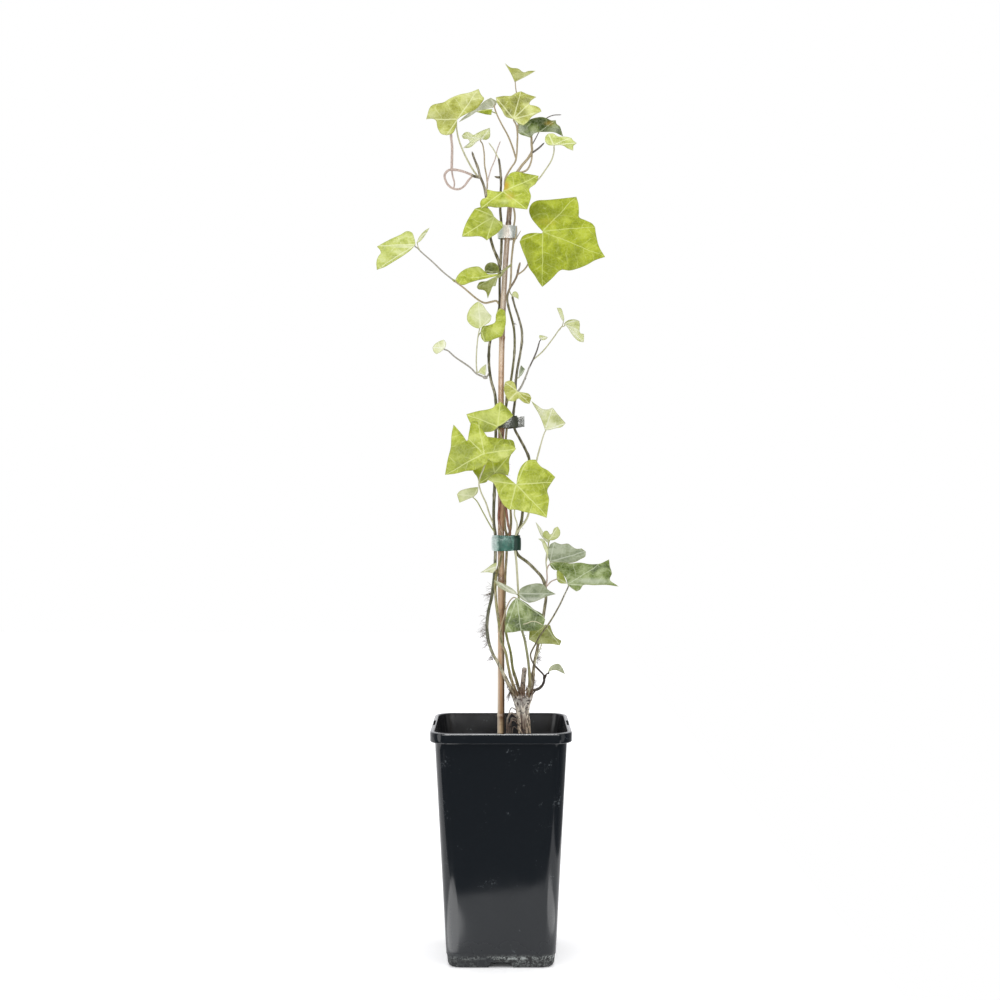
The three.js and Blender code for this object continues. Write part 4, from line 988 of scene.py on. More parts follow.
HAIRS: dict[str, tuple[Hairs, ...]] = {
    "stem_left": (
        Hairs((-7, 258, -4.4), 7, 26, 8, (-1, 0.1)),
        Hairs((-10.5, 270, -2.2), 7, 22, 7, (-1, -0.1)),
        Hairs((-12.1, 281, -1.4), 15, 60, 11, (-1, 0.1)),
        Hairs((-10.9, 298, -1.2), 3, 14, 4.5, (-1, 0.2)),
        Hairs((-8.6, 311, -1.5), 10, 30, 9, (-1, 0.3)),
        Hairs((-6.0, 330, -2.3), 4, 20, 10, (1, 0.05)),
        Hairs((6.4, 234, -4), 5, 30, 4.5, (-0.5, 0.4)),
        Hairs((8.6, 229.6, -3), 1, 26, 12, (-0.3, -1.0)),
    ),
    "stem_front": (
        Hairs((11, 231, -5.4), 5, 40, 4, (0.3, 0.5)),
        Hairs((-2.6, 292, -6), 5, 12, 3, (0.6, 0.2)),
        Hairs((0.4, 418, -6), 8, 50, 7, (1, 0.1)),
        Hairs((0.8, 428, -5.9), 7, 40, 7, (1, -0.1)),
        Hairs((11, 548, -1), 5, 12, 3, (1, 0)),
    ),
    "stem_back": (Hairs((3.2, 300, 6.6), 8, 12, 3, (1, 0)), Hairs((15.4, 230, 3.8), 4, 26, 3.5, (0, 0.6))),
    "stem_low": (
        Hairs((24.6, 232, -2.6), 4, 34, 4, (0.2, 0.5)),
        Hairs((21, 272, -1.2), 9, 14, 3, (1, 0.2)),
    ),
    "stem_right": (
        Hairs((27.2, 236, 3.2), 8, 40, 7, (0.9, 0.3)),
        Hairs((31, 262, 3.6), 14, 50, 8, (0.7, -0.5)),
        Hairs((20.5, 400, 2), 6, 14, 3.5, (1, 0.1)),
        Hairs((17.6, 376, 2.5), 5, 12, 3.5, (1, 0.1)),
        Hairs((24.3, 426, 2), 6, 12, 3, (1, 0.1)),
    ),
}

BARKS: dict[str, BarkFinish] = {
    "stem_left": BarkFinish(
        "ivy_bark_grey",
        (
            (223, "#c6b696"), (246, "#d2caaa"), (260, "#aaa88c"), (276, "#7c7e6c"), (300, "#74785e"),
            (345, "#74785e"), (365, "#6a6a52"), (430, "#7c7c5c"), (500, "#6c6b4c"), (560, "#5f5c42"),
            (600, "#6f6a4a"), (640, "#7e785a"), (680, "#877e68"), (700, "#8c8472"),
        ),
    ),
    "stem_front": BarkFinish(
        "ivy_bark_green",
        (
            (223, "#857054"), (240, "#9a8c62"), (262, "#a2a068"), (300, "#b0aa74"), (345, "#8c8450"),
            (372, "#9c6a58"), (450, "#94685a"), (480, "#7a7850"), (560, "#747150"), (590, "#a08c78"),
            (650, "#bfa898"), (700, "#c4ac98"),
        ),
        streak_strength=0.6,
    ),
    "stem_back": BarkFinish(
        "ivy_bark_fresh",
        ((223, "#7d6a4e"), (242, "#8c8a58"), (270, "#98a05e"), (310, "#a89a70"), (490, "#a4a270")),
        streak_strength=0.5,
    ),
    "stem_low": BarkFinish(
        "ivy_bark_pale_green",
        ((223, "#8c7658"), (242, "#a09a70"), (262, "#a8aa80"), (380, "#a3a880"), (450, "#c4cf9c")),
        streak_strength=0.35,
    ),
    "stem_right": BarkFinish(
        "ivy_bark_brown",
        (
            (223, "#9c8a70"), (262, "#a89c80"), (310, "#9c947a"), (350, "#7e7c58"), (430, "#706c50"),
            (500, "#7c7862"), (530, "#9a967c"), (575, "#8c8670"),
        ),
    ),
    "stem_far": BarkFinish(
        "ivy_bark_thin",
        ((223, "#3f3834"), (246, "#4a403a"), (256, "#7c7460"), (290, "#98926c"), (315, "#b0ac96")),
        scar_strength=0.1, low_scar=0.1,
    ),
}

LEAF_FINISHES: dict[Look, LeafFinish] = {
    look: LeafFinish(f"ivy_leaf_{look.value}", *tones)
    for look, tones in {
        Look.FRESH: ("#919e1e", "#b0bd34", "#cfd962", "#e6ee9c", "#dbe394", "#7f8c2a"),
        Look.LIME: ("#8b980c", "#a2af18", "#bcc83a", "#dae488", "#ccd566", "#727d1c"),
        Look.SOFT: ("#9a9e34", "#bdc25e", "#d8dc8c", "#eaedb6", "#e2e5b4", "#7c7f30"),
        Look.PALE: ("#b0bc56", "#cad470", "#dee69a", "#f4f8cc", "#f4f6d4", "#98a44c"),
        Look.FAINT: ("#bcc476", "#dce29c", "#eef2c4", "#f8fae4", "#f4f6e0", "#98a060"),
        Look.OLIVE: ("#767d28", "#949b42", "#b6bc74", "#d4daa6", "#d8dcb2", "#5e662c"),
        Look.DEEP: ("#46581c", "#778a40", "#aab880", "#d2dcb8", "#c2cab0", "#3c4c24"),
        Look.GREY: ("#7c8868", "#9aa482", "#bac2a6", "#d4dac4", "#d2d6c4", "#5e6a4c"),
        Look.MIST: ("#a2a884", "#bec29e", "#d8dbc2", "#eceed8", "#e6e8d6", "#828866"),
    }.items()
}


LEAVES: dict[str, Blade] = {
    "leaf_01": Blade(Look.SOFT, 8, (0.1, -1.2), 0.2, (14, 766), """
    12 760.8, 20 764.8, 30 770.6*, 24 770.4, 20 769.2, 15 772.4, 8.5 773.2, 3.5 777*, 9 767.5"""),
    "leaf_02": Blade(Look.SOFT, -18, (0.1, 0.6), 0.15, (-42, 732), """
    -38.3 728, -34.5 731, -27 734.8, -21 738, -18 741.5, -14.8 746.5, -17.5 750, -19.6 754.8*, -27 752,
    -36 750.3, -44 747, -50 743.3, -61 740.2, -65.5 728.5*, -60 729, -57 727.5, -55.5 721, -52.5 716,
    -47.5 714.7*, -42 716.5, -39.5 721.5"""),
    "leaf_03": Blade(Look.SOFT, -16, (0.1, 0.8), 0.1, (14, 738), """
    11 728.5, 4 731, 0.5 737, -3.5 743, -4.5 747.6*, 2 748.8, 9 749, 13 751.5, 17.5 753*, 24 750.2,
    30.8 748*, 26 744.5, 25 741.5, 30.5 740, 34 738, 35.4 735.4*, 31 733.4, 27 731, 24 727, 19.8 723.3*,
    15 724.8"""),
    "leaf_04": Blade(Look.MIST, 28, (-0.2, -0.8), 0, (-19, 737), """
    -4.5 741, -3.2 743.8*, -9 747*, -14 744.3, -18 741, -25 735.8, -33 729.8, -37 725.5*, -28 730.3,
    -21 735, -12 737.5, -6 739"""),
    "leaf_05": Blade(Look.LIME, 20, (0, 0.5), 0, (-11, 735), """
    -7.5 737, -8.5 732.2*, -13 732.6, -21.5 734.8*, -14 736.8"""),
    "leaf_06": Blade(Look.DEEP, 25, (0, -0.8), -0.15, (34, 725), """
    26.2 712, 28.5 715.5, 33 717, 38.5 717.3, 45 717.2, 49 716.2, 54.3 713.3*, 53 718, 51.5 722, 48.5 724.5,
    48 727.4*, 44 727.2, 40.5 728.8, 36 730, 29 729, 22.5 726.5, 16.5 724, 13 722*, 13.8 718, 17 715,
    22 713.5"""),
    "leaf_07": Blade(Look.PALE, -16, (0.1, 0.9), 0.1, (50, 709.5), """
    46 705.4, 41.5 706, 38.8 709, 39 713.5, 41.5 716*, 46 715.8, 50 713.2, 56 713.3, 61.5 712.3*,
    63.5 709.8, 66.3 707.8*, 63.5 705.5, 63.3 701.3*, 58.5 703, 54 705.6, 50 705.8"""),
    "leaf_08": Blade(Look.FAINT, 7, (0, 0.7), 0, (-22, 712), """
    -17 710.8, -12.5 710.6, -9.8 713, -9.7 720.8*, -15 719, -21 716.2, -24 714.6, -27.5 716.8, -31 717.2,
    -34.3 714*, -33 711.5, -28.8 711, -27.5 708, -33 703.2*, -27 703.8, -22.5 707.5, -20 709.5"""),
    "leaf_09": Blade(Look.FRESH, -22, (0.1, 0.6), 0.1, (5, 660), """
    1.8 664.8, 3.2 671, 4.5 676.5, 8 681, 13 682.6, 21 681, 33 678.6*, 30.5 672, 24.8 667.3, 26.2 661,
    24.8 655, 23 649.6*, 15 650.6, 5 651.6, -4 651, -11 652, -17.5 650.4*, -18.3 655, -16.5 658.5,
    -12.6 660, -12.4 667*, -6 665.3"""),
    "leaf_10": Blade(Look.FRESH, -19, (-0.05, 0.6), 0.1, (-11, 638), """
    -6 643, -2 639.5, 1.2 638, 1.6 633.8*, -4 628, -8 625.5, -12.5 622.3*, -16 625, -20 626, -27 625.8,
    -34.2 625.8*, -33 631, -30.5 637.5, -27 644, -23 650*, -17 651.5, -11 650.5*, -8 647"""),
    "leaf_11": Blade(Look.LIME, -15, (-0.15, 0.45), 0.08, (45, 624), """
    36.5 630, 31 636, 26.5 642, 24.6 648.5, 26.5 654, 31 657, 40 657.8, 53 659, 66 660.6*, 67.8 654,
    68.2 647, 68.4 642.6, 74 640, 80 637, 82.3 634*, 83.3 627, 86 616.5, 91 608*, 82 604.8, 75 601,
    67 597.8, 60 596, 52.5 596.5, 45 589.5, 40 585, 36 581.8*, 32.5 586.5, 29.5 591.5, 24.5 598.5, 22 606,
    19 613, 16.2 621.3*, 19 626, 24 628.3, 31 628.8, 36 628.6"""),
    "leaf_12": Blade(Look.PALE, 33, (-0.2, 0.6), 0.2, (-92, 615), """
    -74.8 618.6, -75.8 624, -78 629.3, -82.5 630.6, -88 627.6, -96 624, -103 620.3, -108.6 617.2*, -106 614,
    -105.2 611.3, -107.5 608, -109 603, -108.6 596.5*, -102 599, -93 604.5, -85 609.5, -79 614"""),
    "leaf_13": Blade(Look.FAINT, 31, (0, 0), 0, (-69, 625.2), """
    -74 619.8, -71 621.2, -66 627.4, -62.5 633.5*, -66.8 630.8, -71.5 625.4"""),
    "leaf_14": Blade(Look.FRESH, -15, (0.1, 1.3), 0, (-22, 592), """
    -1 592.6, -6 592.7, -11.5 593.1, -15.5 596.8, -19.5 599.6, -26 599, -32 596.8, -37 592.8, -40 588*,
    -37.5 585, -33 583.3, -27 585.6, -19 588, -9 590.2, -3 591.5"""),
    "leaf_15": Blade(Look.OLIVE, -10, (0, 0.6), 0, (-8, 597), """
    -1.8 594.2, -1.9 598, -4 601.5, -8 603, -12 602, -14.2 598.8, -14 594.5*, -11 593.4, -6 593.3"""),
    "leaf_16": Blade(Look.OLIVE, -10, (0, 0.3), 0, (-11, 583), """
    -2.3 591.5, -9 588.5, -12.5 586.6, -18.6 585.6, -21.2 581.5*, -20 579.6, -15 578.7, -13 576.8,
    -11.6 571.3*, -9.3 577, -7 582.2, -4.8 582.2*, -3.8 586"""),
    "leaf_17": Blade(Look.PALE, -22, (0.1, 0.1), 0.5, (-20, 556), """
    -18 545.5, -20.5 545.2, -26 547.8, -29.4 552, -29.8 556, -28 561.5, -24.3 566, -20 568.8*, -16 566,
    -12.4 560.5, -8.4 556*, -9.5 551.5, -14 548"""),
    "leaf_18": Blade(Look.FRESH, -13, (0, 0.1), 0.1, (-3, 546), """
    -17.8 543, -16 546.8, -10 548.2, -5 550.8, -4.5 556, -3 561, -1 563*, 3 561, 4.2 555, 4 549, 2.5 543,
    0.5 538.3, -3 537, -7 535.5, -10.5 533.8, -14.5 533.3*, -17.3 537"""),
    "leaf_19": Blade(Look.FAINT, 27, (-0.1, 0.5), 0.1, (65.5, 540.5), """
    55 549.3, 57.5 551.5, 60.5 552.8, 64.5 553, 68.5 551.7*, 69 548, 68.7 544, 69.5 541, 72.5 540.5*,
    72.6 536, 72.3 533.2*, 68.5 534, 65.5 536, 62 540, 59 545, 57 547.5"""),
    "leaf_20": Blade(Look.FAINT, 29, (0, 0), 0, (53.2, 556), """
    55 550.8, 53 553, 50.8 558, 48.8 563.2*, 52.5 562.8, 54.3 558, 55.3 554"""),
    "leaf_21": Blade(Look.FAINT, -21, (0.1, 0.4), 0, (-54, 529), """
    -49 528, -48 532, -49.8 535.4*, -54 534, -58 531.3, -60 528.5*, -59 525, -56.5 522.8*, -53 524.5"""),
    "leaf_22": Blade(Look.FAINT, 8, (0, 0.5), 0, (37, 537), """
    34 536, 33.5 539, 37 538.8, 41 537.5*, 39 535.6, 36.5 535"""),
    "leaf_23": Blade(Look.SOFT, -12, (0.05, 0.5), 0.1, (13, 486.5), """
    14.5 490, 13.5 492.5, 11.5 498, 8 499.6, 3.5 498.3*, 2.6 492, 4 486.5, 6.5 482*, 12 481.6, 15.5 484,
    20 480.6, 25 479.3*, 26.6 484.5*, 24.5 488, 19 489.2"""),
    "leaf_24": Blade(Look.FAINT, 17, (-0.1, 0.4), 0.15, (41, 465), """
    38.6 455.8, 36.3 463, 32.5 471.5, 28.5 478, 26.5 481.8*, 31.5 478, 36.5 474.8, 41 474.5, 45.2 476*,
    49.5 470.5, 56.6 462.3*, 53 459, 47.5 457.8, 43 456.5"""),
    "leaf_25": Blade(Look.FRESH, -19, (0, 0.3), 0.1, (-8, 465), """
    -2.8 459.2, 1 461, 5.5 464.3, 10.6 468.7*, 8 473, 4 477.2, -0.5 481.2*, -4 479, -7 475.8, -12 474.2,
    -20 473, -30.4 470.2*, -28 464.5, -26 461, -22 457, -17 454.8, -12 454.4, -6.5 455.5"""),
    "leaf_26": Blade(Look.FRESH, -38, (0, 0.2), 0.08, (-24, 436), """
    -11.5 430.5, -4.5 427.8, 3 431, 9 435, 13.2 440*, 9.5 443.2, 4 444.6, -1 443.5, -5 442.8, -9 446,
    -12.5 451, -16.5 457, -20.5 464*, -25.5 463.5, -27.8 455, -29.8 446.8, -34.5 453, -41.5 461.2*,
    -43.3 452, -44 441, -46.5 431, -49 417*, -40 418, -31 420.3, -24 421, -17 424, -12.5 427"""),
    "leaf_27": Blade(Look.LIME, -24, (0, 0.15), 0.05, (-7, 430), """
    -5.5 418.5, 0 418.3, 6 416.3*, 7.3 421, 7.2 430, 9.5 436, 12.5 441*, 10.5 447, 3 448.4, -5 449.5,
    -12 450.5*, -22 440, -24 428, -24.5 420.5, -20.8 415, -19.5 409.2*, -12.5 411, -10.5 415"""),
    "leaf_28": Blade(Look.FRESH, -32, (0, 0.35), 0.1, (17, 403), """
    13.4 408.6, 15 418, 18.5 425.5, 24 430, 30.3 430.5*, 35 424.5, 41 421, 47.5 415*, 43.5 409, 40.5 403.5,
    42 396, 41 387, 40 379.5*, 31 382.5, 21 384.5, 13 386.5, 7 386.5*, 2 391, -2 399, -4.5 406, -7 410.2,
    -12.5 413*, -8 417, -3 418.5, 3 417, 8 413"""),
    "leaf_29": Blade(Look.PALE, -17, (0, 0.5), 0.1, (-29, 400), """
    -23.6 398, -20.5 401.5, -19.8 406.3*, -28 405.4, -36 403, -38.6 400*, -36.4 392.8*, -30 395.4"""),
    "leaf_30": Blade(Look.FAINT, 4, (0, 0.1), 0, (36, 366), """
    42 356.8, 38.5 359.5, 35 364, 32.5 369.5, 30.4 375.7*, 34.5 371, 37 366.5, 40 362.5, 42.8 359.3"""),
    "leaf_31": Blade(Look.PALE, -6, (0, 0.6), 0, (44, 362.4), """
    42 359.9, 38.5 361.8, 36.6 364.6, 38 367.8, 40.5 368, 43 364.8, 45 366, 46.5 370, 49.6 371.8*, 51.7 368,
    51.4 364, 48.5 361, 45 359.8"""),
    "leaf_32": Blade(Look.GREY, 2, (0, 1.3), 0, (54, 348), """
    42.8 340.8, 41 345.5, 41.3 351.5, 43.5 356.5, 47 358.3*, 52.5 356.4, 58.5 357, 62.5 354.5, 66 352.6,
    70.5 352.8*, 74.2 350*, 73.8 346, 69.5 343.5, 65 341, 58 340.2, 50 340.5"""),
    "leaf_33": Blade(Look.FAINT, -2, (0, 0.2), 0, (38.6, 357.5), """
    41 345, 38.8 350, 36.8 355, 35.6 358.6, 32.4 361.2*, 36.6 360.8, 39.9 356, 41.4 350"""),
    "leaf_34": Blade(Look.DEEP, -25, (-0.1, 0.95), 0.1, (70, 330), """
    58.3 321, 57 326, 53 331.5, 50 333.6, 46.5 334.3, 43.5 337, 42.3 340.3*, 52 340.6, 61 339.8, 69 340.3,
    78 338.8, 87 339.6, 94.6 343.2*, 95.3 337, 97 331, 95.2 325.5, 102.8 319.4*, 92 321, 81 320.6, 72 320.6,
    69.5 317, 66 315.2*, 62 317.8"""),
    "leaf_35": Blade(Look.PALE, 15, (0, 0.5), 0, (52, 327.5), """
    48.8 327, 49 333, 51 334.5, 54 330.5, 57.8 322*, 52 322.3, 49.5 324.3"""),
    "leaf_36": Blade(Look.GREY, -13, (0, 0.7), 0.1, (27, 313.5), """
    15.5 313, 16.8 317, 20.5 319.5, 26 321.3, 32 322.2, 37 321.3, 41 316.8, 47.8 312.8*, 40.5 311, 36 309,
    30.5 306.6, 24.5 305.2*, 19.5 307.5, 16 310.5"""),
    "leaf_37": Blade(Look.MIST, -17, (0.05, 0), 0, (4, 318), """
    13.8 312.2, 8 313.5, 2.5 316, -2.5 319.2, -6.2 325*, -0.5 322.8, 5 320.3, 10 317.3, 13.5 314"""),
    "leaf_38": Blade(Look.DEEP, -15, (0, 0.2), 0.12, (18, 294), """
    14 309.6, 9.5 305.5, 6 299, 4.2 291, 3.6 279*, 10 279.2, 17 280.6*, 24 280.2, 33 281.2, 37 285,
    38.6 290.5*, 35.5 295.5, 29 299, 23.5 303.8, 18.5 307"""),
    "leaf_39": Blade(Look.OLIVE, -1, (0, 0.3), 0.1, (38, 276), """
    38.5 286, 35 283.5, 30 281.8, 25 281.5*, 24.3 273*, 31 269.6, 38 269.2, 45 269, 51.5 267.8*, 53 271.8*,
    48 275, 45 279.5, 43 285.5*"""),
    "leaf_40": Blade(Look.MIST, -10, (0, 0.8), 0, (48, 248.6), """
    41 244, 42.8 248.5, 46 250.8, 50.3 251.6, 53.2 249, 56 243*, 52 244.8, 48.5 246.3, 44.5 246"""),
    "leaf_41": Blade(Look.FAINT, -9, (0, 0.5), 0, (-8, 335), """
    -4 336.5, -3.5 340.2*, -7 339.2, -12 335.5, -18 331.6*, -12 332, -7 331.2*, -5 333.5"""),
    "leaf_42": Blade(Look.FAINT, -5, (0, 0.3), 0, (12.5, 574.5), """
    9.5 574, 10.5 577, 13 577.6, 15.2 575, 15.3 570.8*, 13 572.3, 11 572.8"""),
    "leaf_43": Blade(Look.FAINT, -3, (0, 0.5), 0, (-15.5, 507.5), """
    -13.6 503.8, -12.9 508, -13 514*, -17 511, -20.4 506.6*, -16.5 505"""),
    "leaf_44": Blade(Look.GREY, 1, (0, 0.5), 0, (17.5, 507.5), """
    15.4 502.4, 16 508, 17.5 513*, 21 509.5*, 18 504.2"""),
}
STEMS: dict[str, tuple[Shoot, ...]] = {
    "stem_left": (
        Shoot(1.6, """
        9 229.5 -3, 5 237 -5, 0.9 245.3 -6, -3.5 254 -5.6, -6.5 259 -4.2, -10.5 270 -2.2, -12.3 284 -1.4,
        -10.9 298 -1.2, -7.9 311 -1.5, -6.3 325 -2, -5.2 340 -2.3, -4.9 351 -2.5, -4.9 364 -2.5,
        -6.2 374 -2.5, -6.4 386 -2.5, -6 397 -2.5, -5.5 412 -2.5, -5 432 -2.5, -4.6 450 -2.5, -4.5 464 -2.5,
        -4.4 478 -2.3, -5.4 488 -1.8, -8.5 499 -1, -10.4 512 0, -10.6 524 1, -9.5 534 1.6, -6 545 2.6,
        -2.5 556 3.4, -1.2 568 3.5, -1.2 582 3.5, -1 594 3.5, 0 606 3""", foot=(11.2, -1.7)),
        Shoot(1.4, """
        -0.6 600 3.4, 0.2 612 2.8, 0.5 625 2.5, 0.2 638 2.4, -0.6 648 2, -0.6 660 1, 0 672 0.2, -0.6 684 0,
        -2 694 0"""),
        Shoot(0.6, """
        -5.6 367 -2.8, -9 372 -5.6, -15.9 384.5 -10.4, -21.5 394.5 -14""", Bark.YOUNG, leaf="leaf_29"),
        Shoot(0.7, """
        -6.2 373 -2.6, -9.5 381 -5, -13 392 -14, -17.5 402 -24, -19.3 411 -31,
        -15.5 422 -34.4""", Bark.FAINT, leaf="leaf_26"),
        Shoot(0.8, """
        -9.8 506.5 0, -13.5 502.2 -1, -17 503.5 -2, -21.3 505.5 -3, -27 511 -6, -40 520 -14,
        -47 526 -18.6""", Bark.ASH, leaf="leaf_21"),
        Shoot(1.5, "-12 502.6 -1, -14 501.9 -1.2, -16 502.7 -1.6", Bark.ASH),
        Shoot(0.5, "-13.4 502 -1.2, -13.2 503 0.6", Bark.ASH, leaf="leaf_43"),
        Shoot(0.6, "-20.8 505.2 -3, -21.6 514 -6, -21 530 -13, -19.6 541 -18", Bark.FAINT, leaf="leaf_17"),
        Shoot(0.5, "-20.1 538 -16.6, -18.6 540.6 -11.6", Bark.YOUNG, leaf="leaf_18"),
        Shoot(0.9, """
        -1.4 566 3.5, -4 569.2 4, -8 568.6 6, -14 567.5 8, -20 570.3 10.5, -33 581 17,
        -41.5 587.3 21""", Bark.TAN),
        Shoot(0.75, """
        -40 586.2 20.4, -50 594 24.6, -60 603.5 29, -70 612.3 33.4,
        -73.2 615.6 34.6""", Bark.ASH, leaf="leaf_12"),
        Shoot(1.3, "-40.4 586.4 20.6, -42.8 588.4 21.6", Bark.YOUNG),
        Shoot(0.5, "-70.6 612.8 33.6, -72.6 616.6 33", Bark.FAINT, leaf="leaf_13"),
        Shoot(1.4, """
        -0.9 597 3.4, -2.8 606 2.4, -6 613.5 0, -9 623.5 -2, -11 635 -2.4, -12.5 648 -2.4, -13 659 -2.4,
        -15 670 -1.4, -18.5 679 0, -20 685 0, -24 695.5 1, -25.2 699.4 1"""),
        Shoot(0.6, "-10.6 632 -2.4, -9.6 637 -7, -8 641 -13", Bark.YOUNG, leaf="leaf_10"),
        Shoot(1.5, "-18 677.6 0, -23 678.2 -1, -28 680.8 -2"),
        Shoot(1.1, """
        -26 679.8 -1.8, -33 682.5 -2, -40 684 -2, -46 683.6 -1, -49.3 679.6 0, -48.4 674.4 1, -45.6 670 2,
        -41 667.3 2, -36 667.3 2, -32 670 1, -28 675.5 0, -25 678.4 -1""", Bark.PINK),
        Shoot(1.2, "-43.2 683.8 -2, -43 692 -5, -42.8 704 -11, -43.6 712 -17, -43.8 717 -19.6", Bark.PINK),
        Shoot(0.8, "-43.2 683.8 -2, -42.2 678 -1.6, -40.8 672.6 0, -41.4 667.4 2", Bark.PINK),
        Shoot(0.8, """
        -20.4 678.4 -0.4, -24.5 684 -2.4, -28 690 -5, -32.5 699 -9, -36.8 710 -13,
        -38.8 720 -15""", Bark.FAINT, leaf="leaf_02"),
        Shoot(0.7, """
        -13.4 662 -2.2, -12 670 -2, -12.4 677 -1, -14.3 688 2, -14.8 699 5.4,
        -16.4 707 8.6""", Bark.TAN, leaf="leaf_08"),
        Shoot(0.55, "-12.2 672 -2, -9 684 -1, -5.2 693.4 1.4, -3.2 702 3, -0.6 709 4.4", Bark.PINK),
        Shoot(0.6, "-1.8 693 0, -6 701 0.4, -10.6 707.6 0.4", Bark.FAINT),
        Shoot(1.3, "0 677.6 0, -2.4 677.4 -1, -5.2 678 -1.6"),
    ),
    "stem_front": (
        Shoot(1.4, """
        12.2 229 -5.2, 8.75 239 -6, 6.1 250.6 -6.2, 4.2 261 -6.4, 0.9 270 -6.4, -0.9 281 -6.2,
        -2.6 292.6 -6, -4.4 306.6 -5.6, -5 320 -5.8, -4 330 -6, -0.4 342 -6, 1.5 351 -5.5, 1.5 364 -5.5,
        0 369 -5.6, -2 379 -5.8, -1.2 390 -5.8, 0 405 -6, 0.8 425 -6, 1.2 445 -5.8, 2.3 458 -5.2,
        3.2 468 -4.6, 5 480 -3, 7.5 492 -1, 8.9 501 0, 10.2 510 0, 11.5 521 0, 12 534 0, 11.2 545.6 -1,
        9 555 -3, 6.6 564 -4.6, 5.4 572 -5, 7.6 580 -4.8, 10.8 585 -4, 13.8 591 -3.2, 15.2 597 -3,
        16.6 602.5 -3""", foot=(13.4, -4.6)),
        Shoot(0.6, """
        3.8 262 -6.4, 0.4 268 -8.4, -1.5 274 -10.6, -0.2 283 -13, 2.2 291.5 -13.6, 4.6 300 -13.4,
        8 307 -12.6, 11.4 309.8 -12.2""", Bark.TAN, leaf="leaf_38"),
        Shoot(0.5, "-4.2 329.5 -6, -4.6 333 -6.2", Bark.TAN, leaf="leaf_41"),
        Shoot(0.7, "1.2 445.5 -5.8, 0.4 450 -9, -1.6 455 -14.4", leaf="leaf_25"),
        Shoot(0.7, "0.3 411 -6, -1.6 413.6 -12, -4.4 416.2 -19", leaf="leaf_27"),
        Shoot(1.2, """
        1.6 352 -5.5, 4.6 359 -6, 7.8 366 -5.8, 6.2 374 -6.2, 4.8 384 -6.8, 3.6 395 -7.4, 2 406 -7,
        0.6 416 -6"""),
        Shoot(0.6, "5.2 481 -2.9, 9 484.4 -6, 12.6 487.2 -8.6", Bark.YOUNG, leaf="leaf_23"),
        Shoot(0.9, """
        7.6 580 -4.8, 8.7 590 -5, 9.1 603 -4.6, 10 613 -3.4, 11 622 -2.2, 11.2 634 -1.8, 12.2 642 -2.4,
        11.2 650 -4.4, 8.4 657 -5.8, 5 664 -5.4, 3.2 671 -3.4, 4 677 -1.6, 9 686 0, 12.4 691 0, 13.7 697 0,
        14.3 710 0""", Bark.TAN),
        Shoot(0.75, """
        14.2 592 -3.1, 20.7 597 -4.4, 27 608 -7, 32.6 620 -9.6,
        35.4 626.4 -11.6""", Bark.TAN, leaf="leaf_11"),
        Shoot(0.9, "9 601 -4.7, 5 597.8 -7, 1.4 594.4 -9.6, 0 592 -11.8", Bark.YOUNG, leaf="leaf_14"),
        Shoot(0.5, "3.8 596.8 -7.6, 0 595.4 -7.6", leaf="leaf_15"),
        Shoot(0.5, "2.2 595.2 -9, 0.2 591 -7", leaf="leaf_16"),
        Shoot(0.45, "7.2 578.6 -4.9, 8.6 575.4 -3.6", leaf="leaf_42"),
        Shoot(0.6, "6.4 661.2 -5.6, 4.2 662.4 -10.4, 3 663.4 -16", leaf="leaf_09"),
        Shoot(0.5, "10.5 617.6 -2.8, 12 621.6 -6, 13.9 634.8 -8", Bark.TAN),
        Shoot(0.4, "11.6 621.4 -5, 14 625 -6.6, 17.4 630.8 -7", Bark.TAN),
        Shoot(0.8, "13.2 694 0, 10 704 6, 6 714 13, 0 725 20.4, -4.4 734.6 25.6", Bark.TAN, leaf="leaf_04"),
        Shoot(0.5, "-3.8 733.2 25, -6.4 734.4 23", Bark.YOUNG, leaf="leaf_05"),
        Shoot(0.8, "14.1 704 0, 14.4 716 -5, 13 724 -11", Bark.TAN, leaf="leaf_03"),
        Shoot(0.55, """
        14.2 708 0, 15 724 1, 15.5 735 6, 14.5 746 12, 13 754.6 10.4""", Bark.TAN, leaf="leaf_01"),
        Shoot(1.4, """
        4.4 678 -1.4, 8.4 677 -2.6, 14 682 -2, 18.4 688 0, 24 694.5 6, 27 700 10.6,
        26.8 706 17.4""", Bark.TAN, leaf="leaf_06"),
        Shoot(0.9, "13 681 -2.2, 22 683.4 0, 26 690 4, 27.4 698 9", Bark.TAN),
        Shoot(0.9, "26.8 698.6 9.4, 33 703 11, 37.6 707.4 13", Bark.DUSK),
        Shoot(0.5, "26.8 705 16.6, 32.6 716 28, 38 727.6 28, 45 731.6 26, 52.6 732.2 24", Bark.DUSK),
        Shoot(0.7, """
        7.2 659.4 -5.9, 16 662 -5, 25 669 -3, 33 676 -2.4, 38.6 683.6 -5, 44 692 -9,
        46.4 700 -13""", Bark.FAINT, leaf="leaf_07"),
    ),
    "stem_back": (
        Shoot(1.4, """
        15.8 229 3.8, 13.6 236.6 4.2, 10.4 247 4.8, 8.5 261 5.4, 5.7 272.5 6, 4.1 281 6.4, 3 300 6.8,
        3.5 325 6.6, 4.8 345 5.8, 5 351 5.4, 5 364 5.4, 3.6 370 5.4, 3 381 5.6, 3 400 6, 3.5 425 6,
        4 445 5.6, 5 458 4.8, 5.4 468 4.8, 4.4 478 5.2, 5 487 5""", foot=(16.8, 3.6)),
        Shoot(1.1, "5 360 5.4, 8.4 370 5, 8.6 382 5, 7 398 5.4, 3.6 412 6"),
    ),
    "stem_low": (
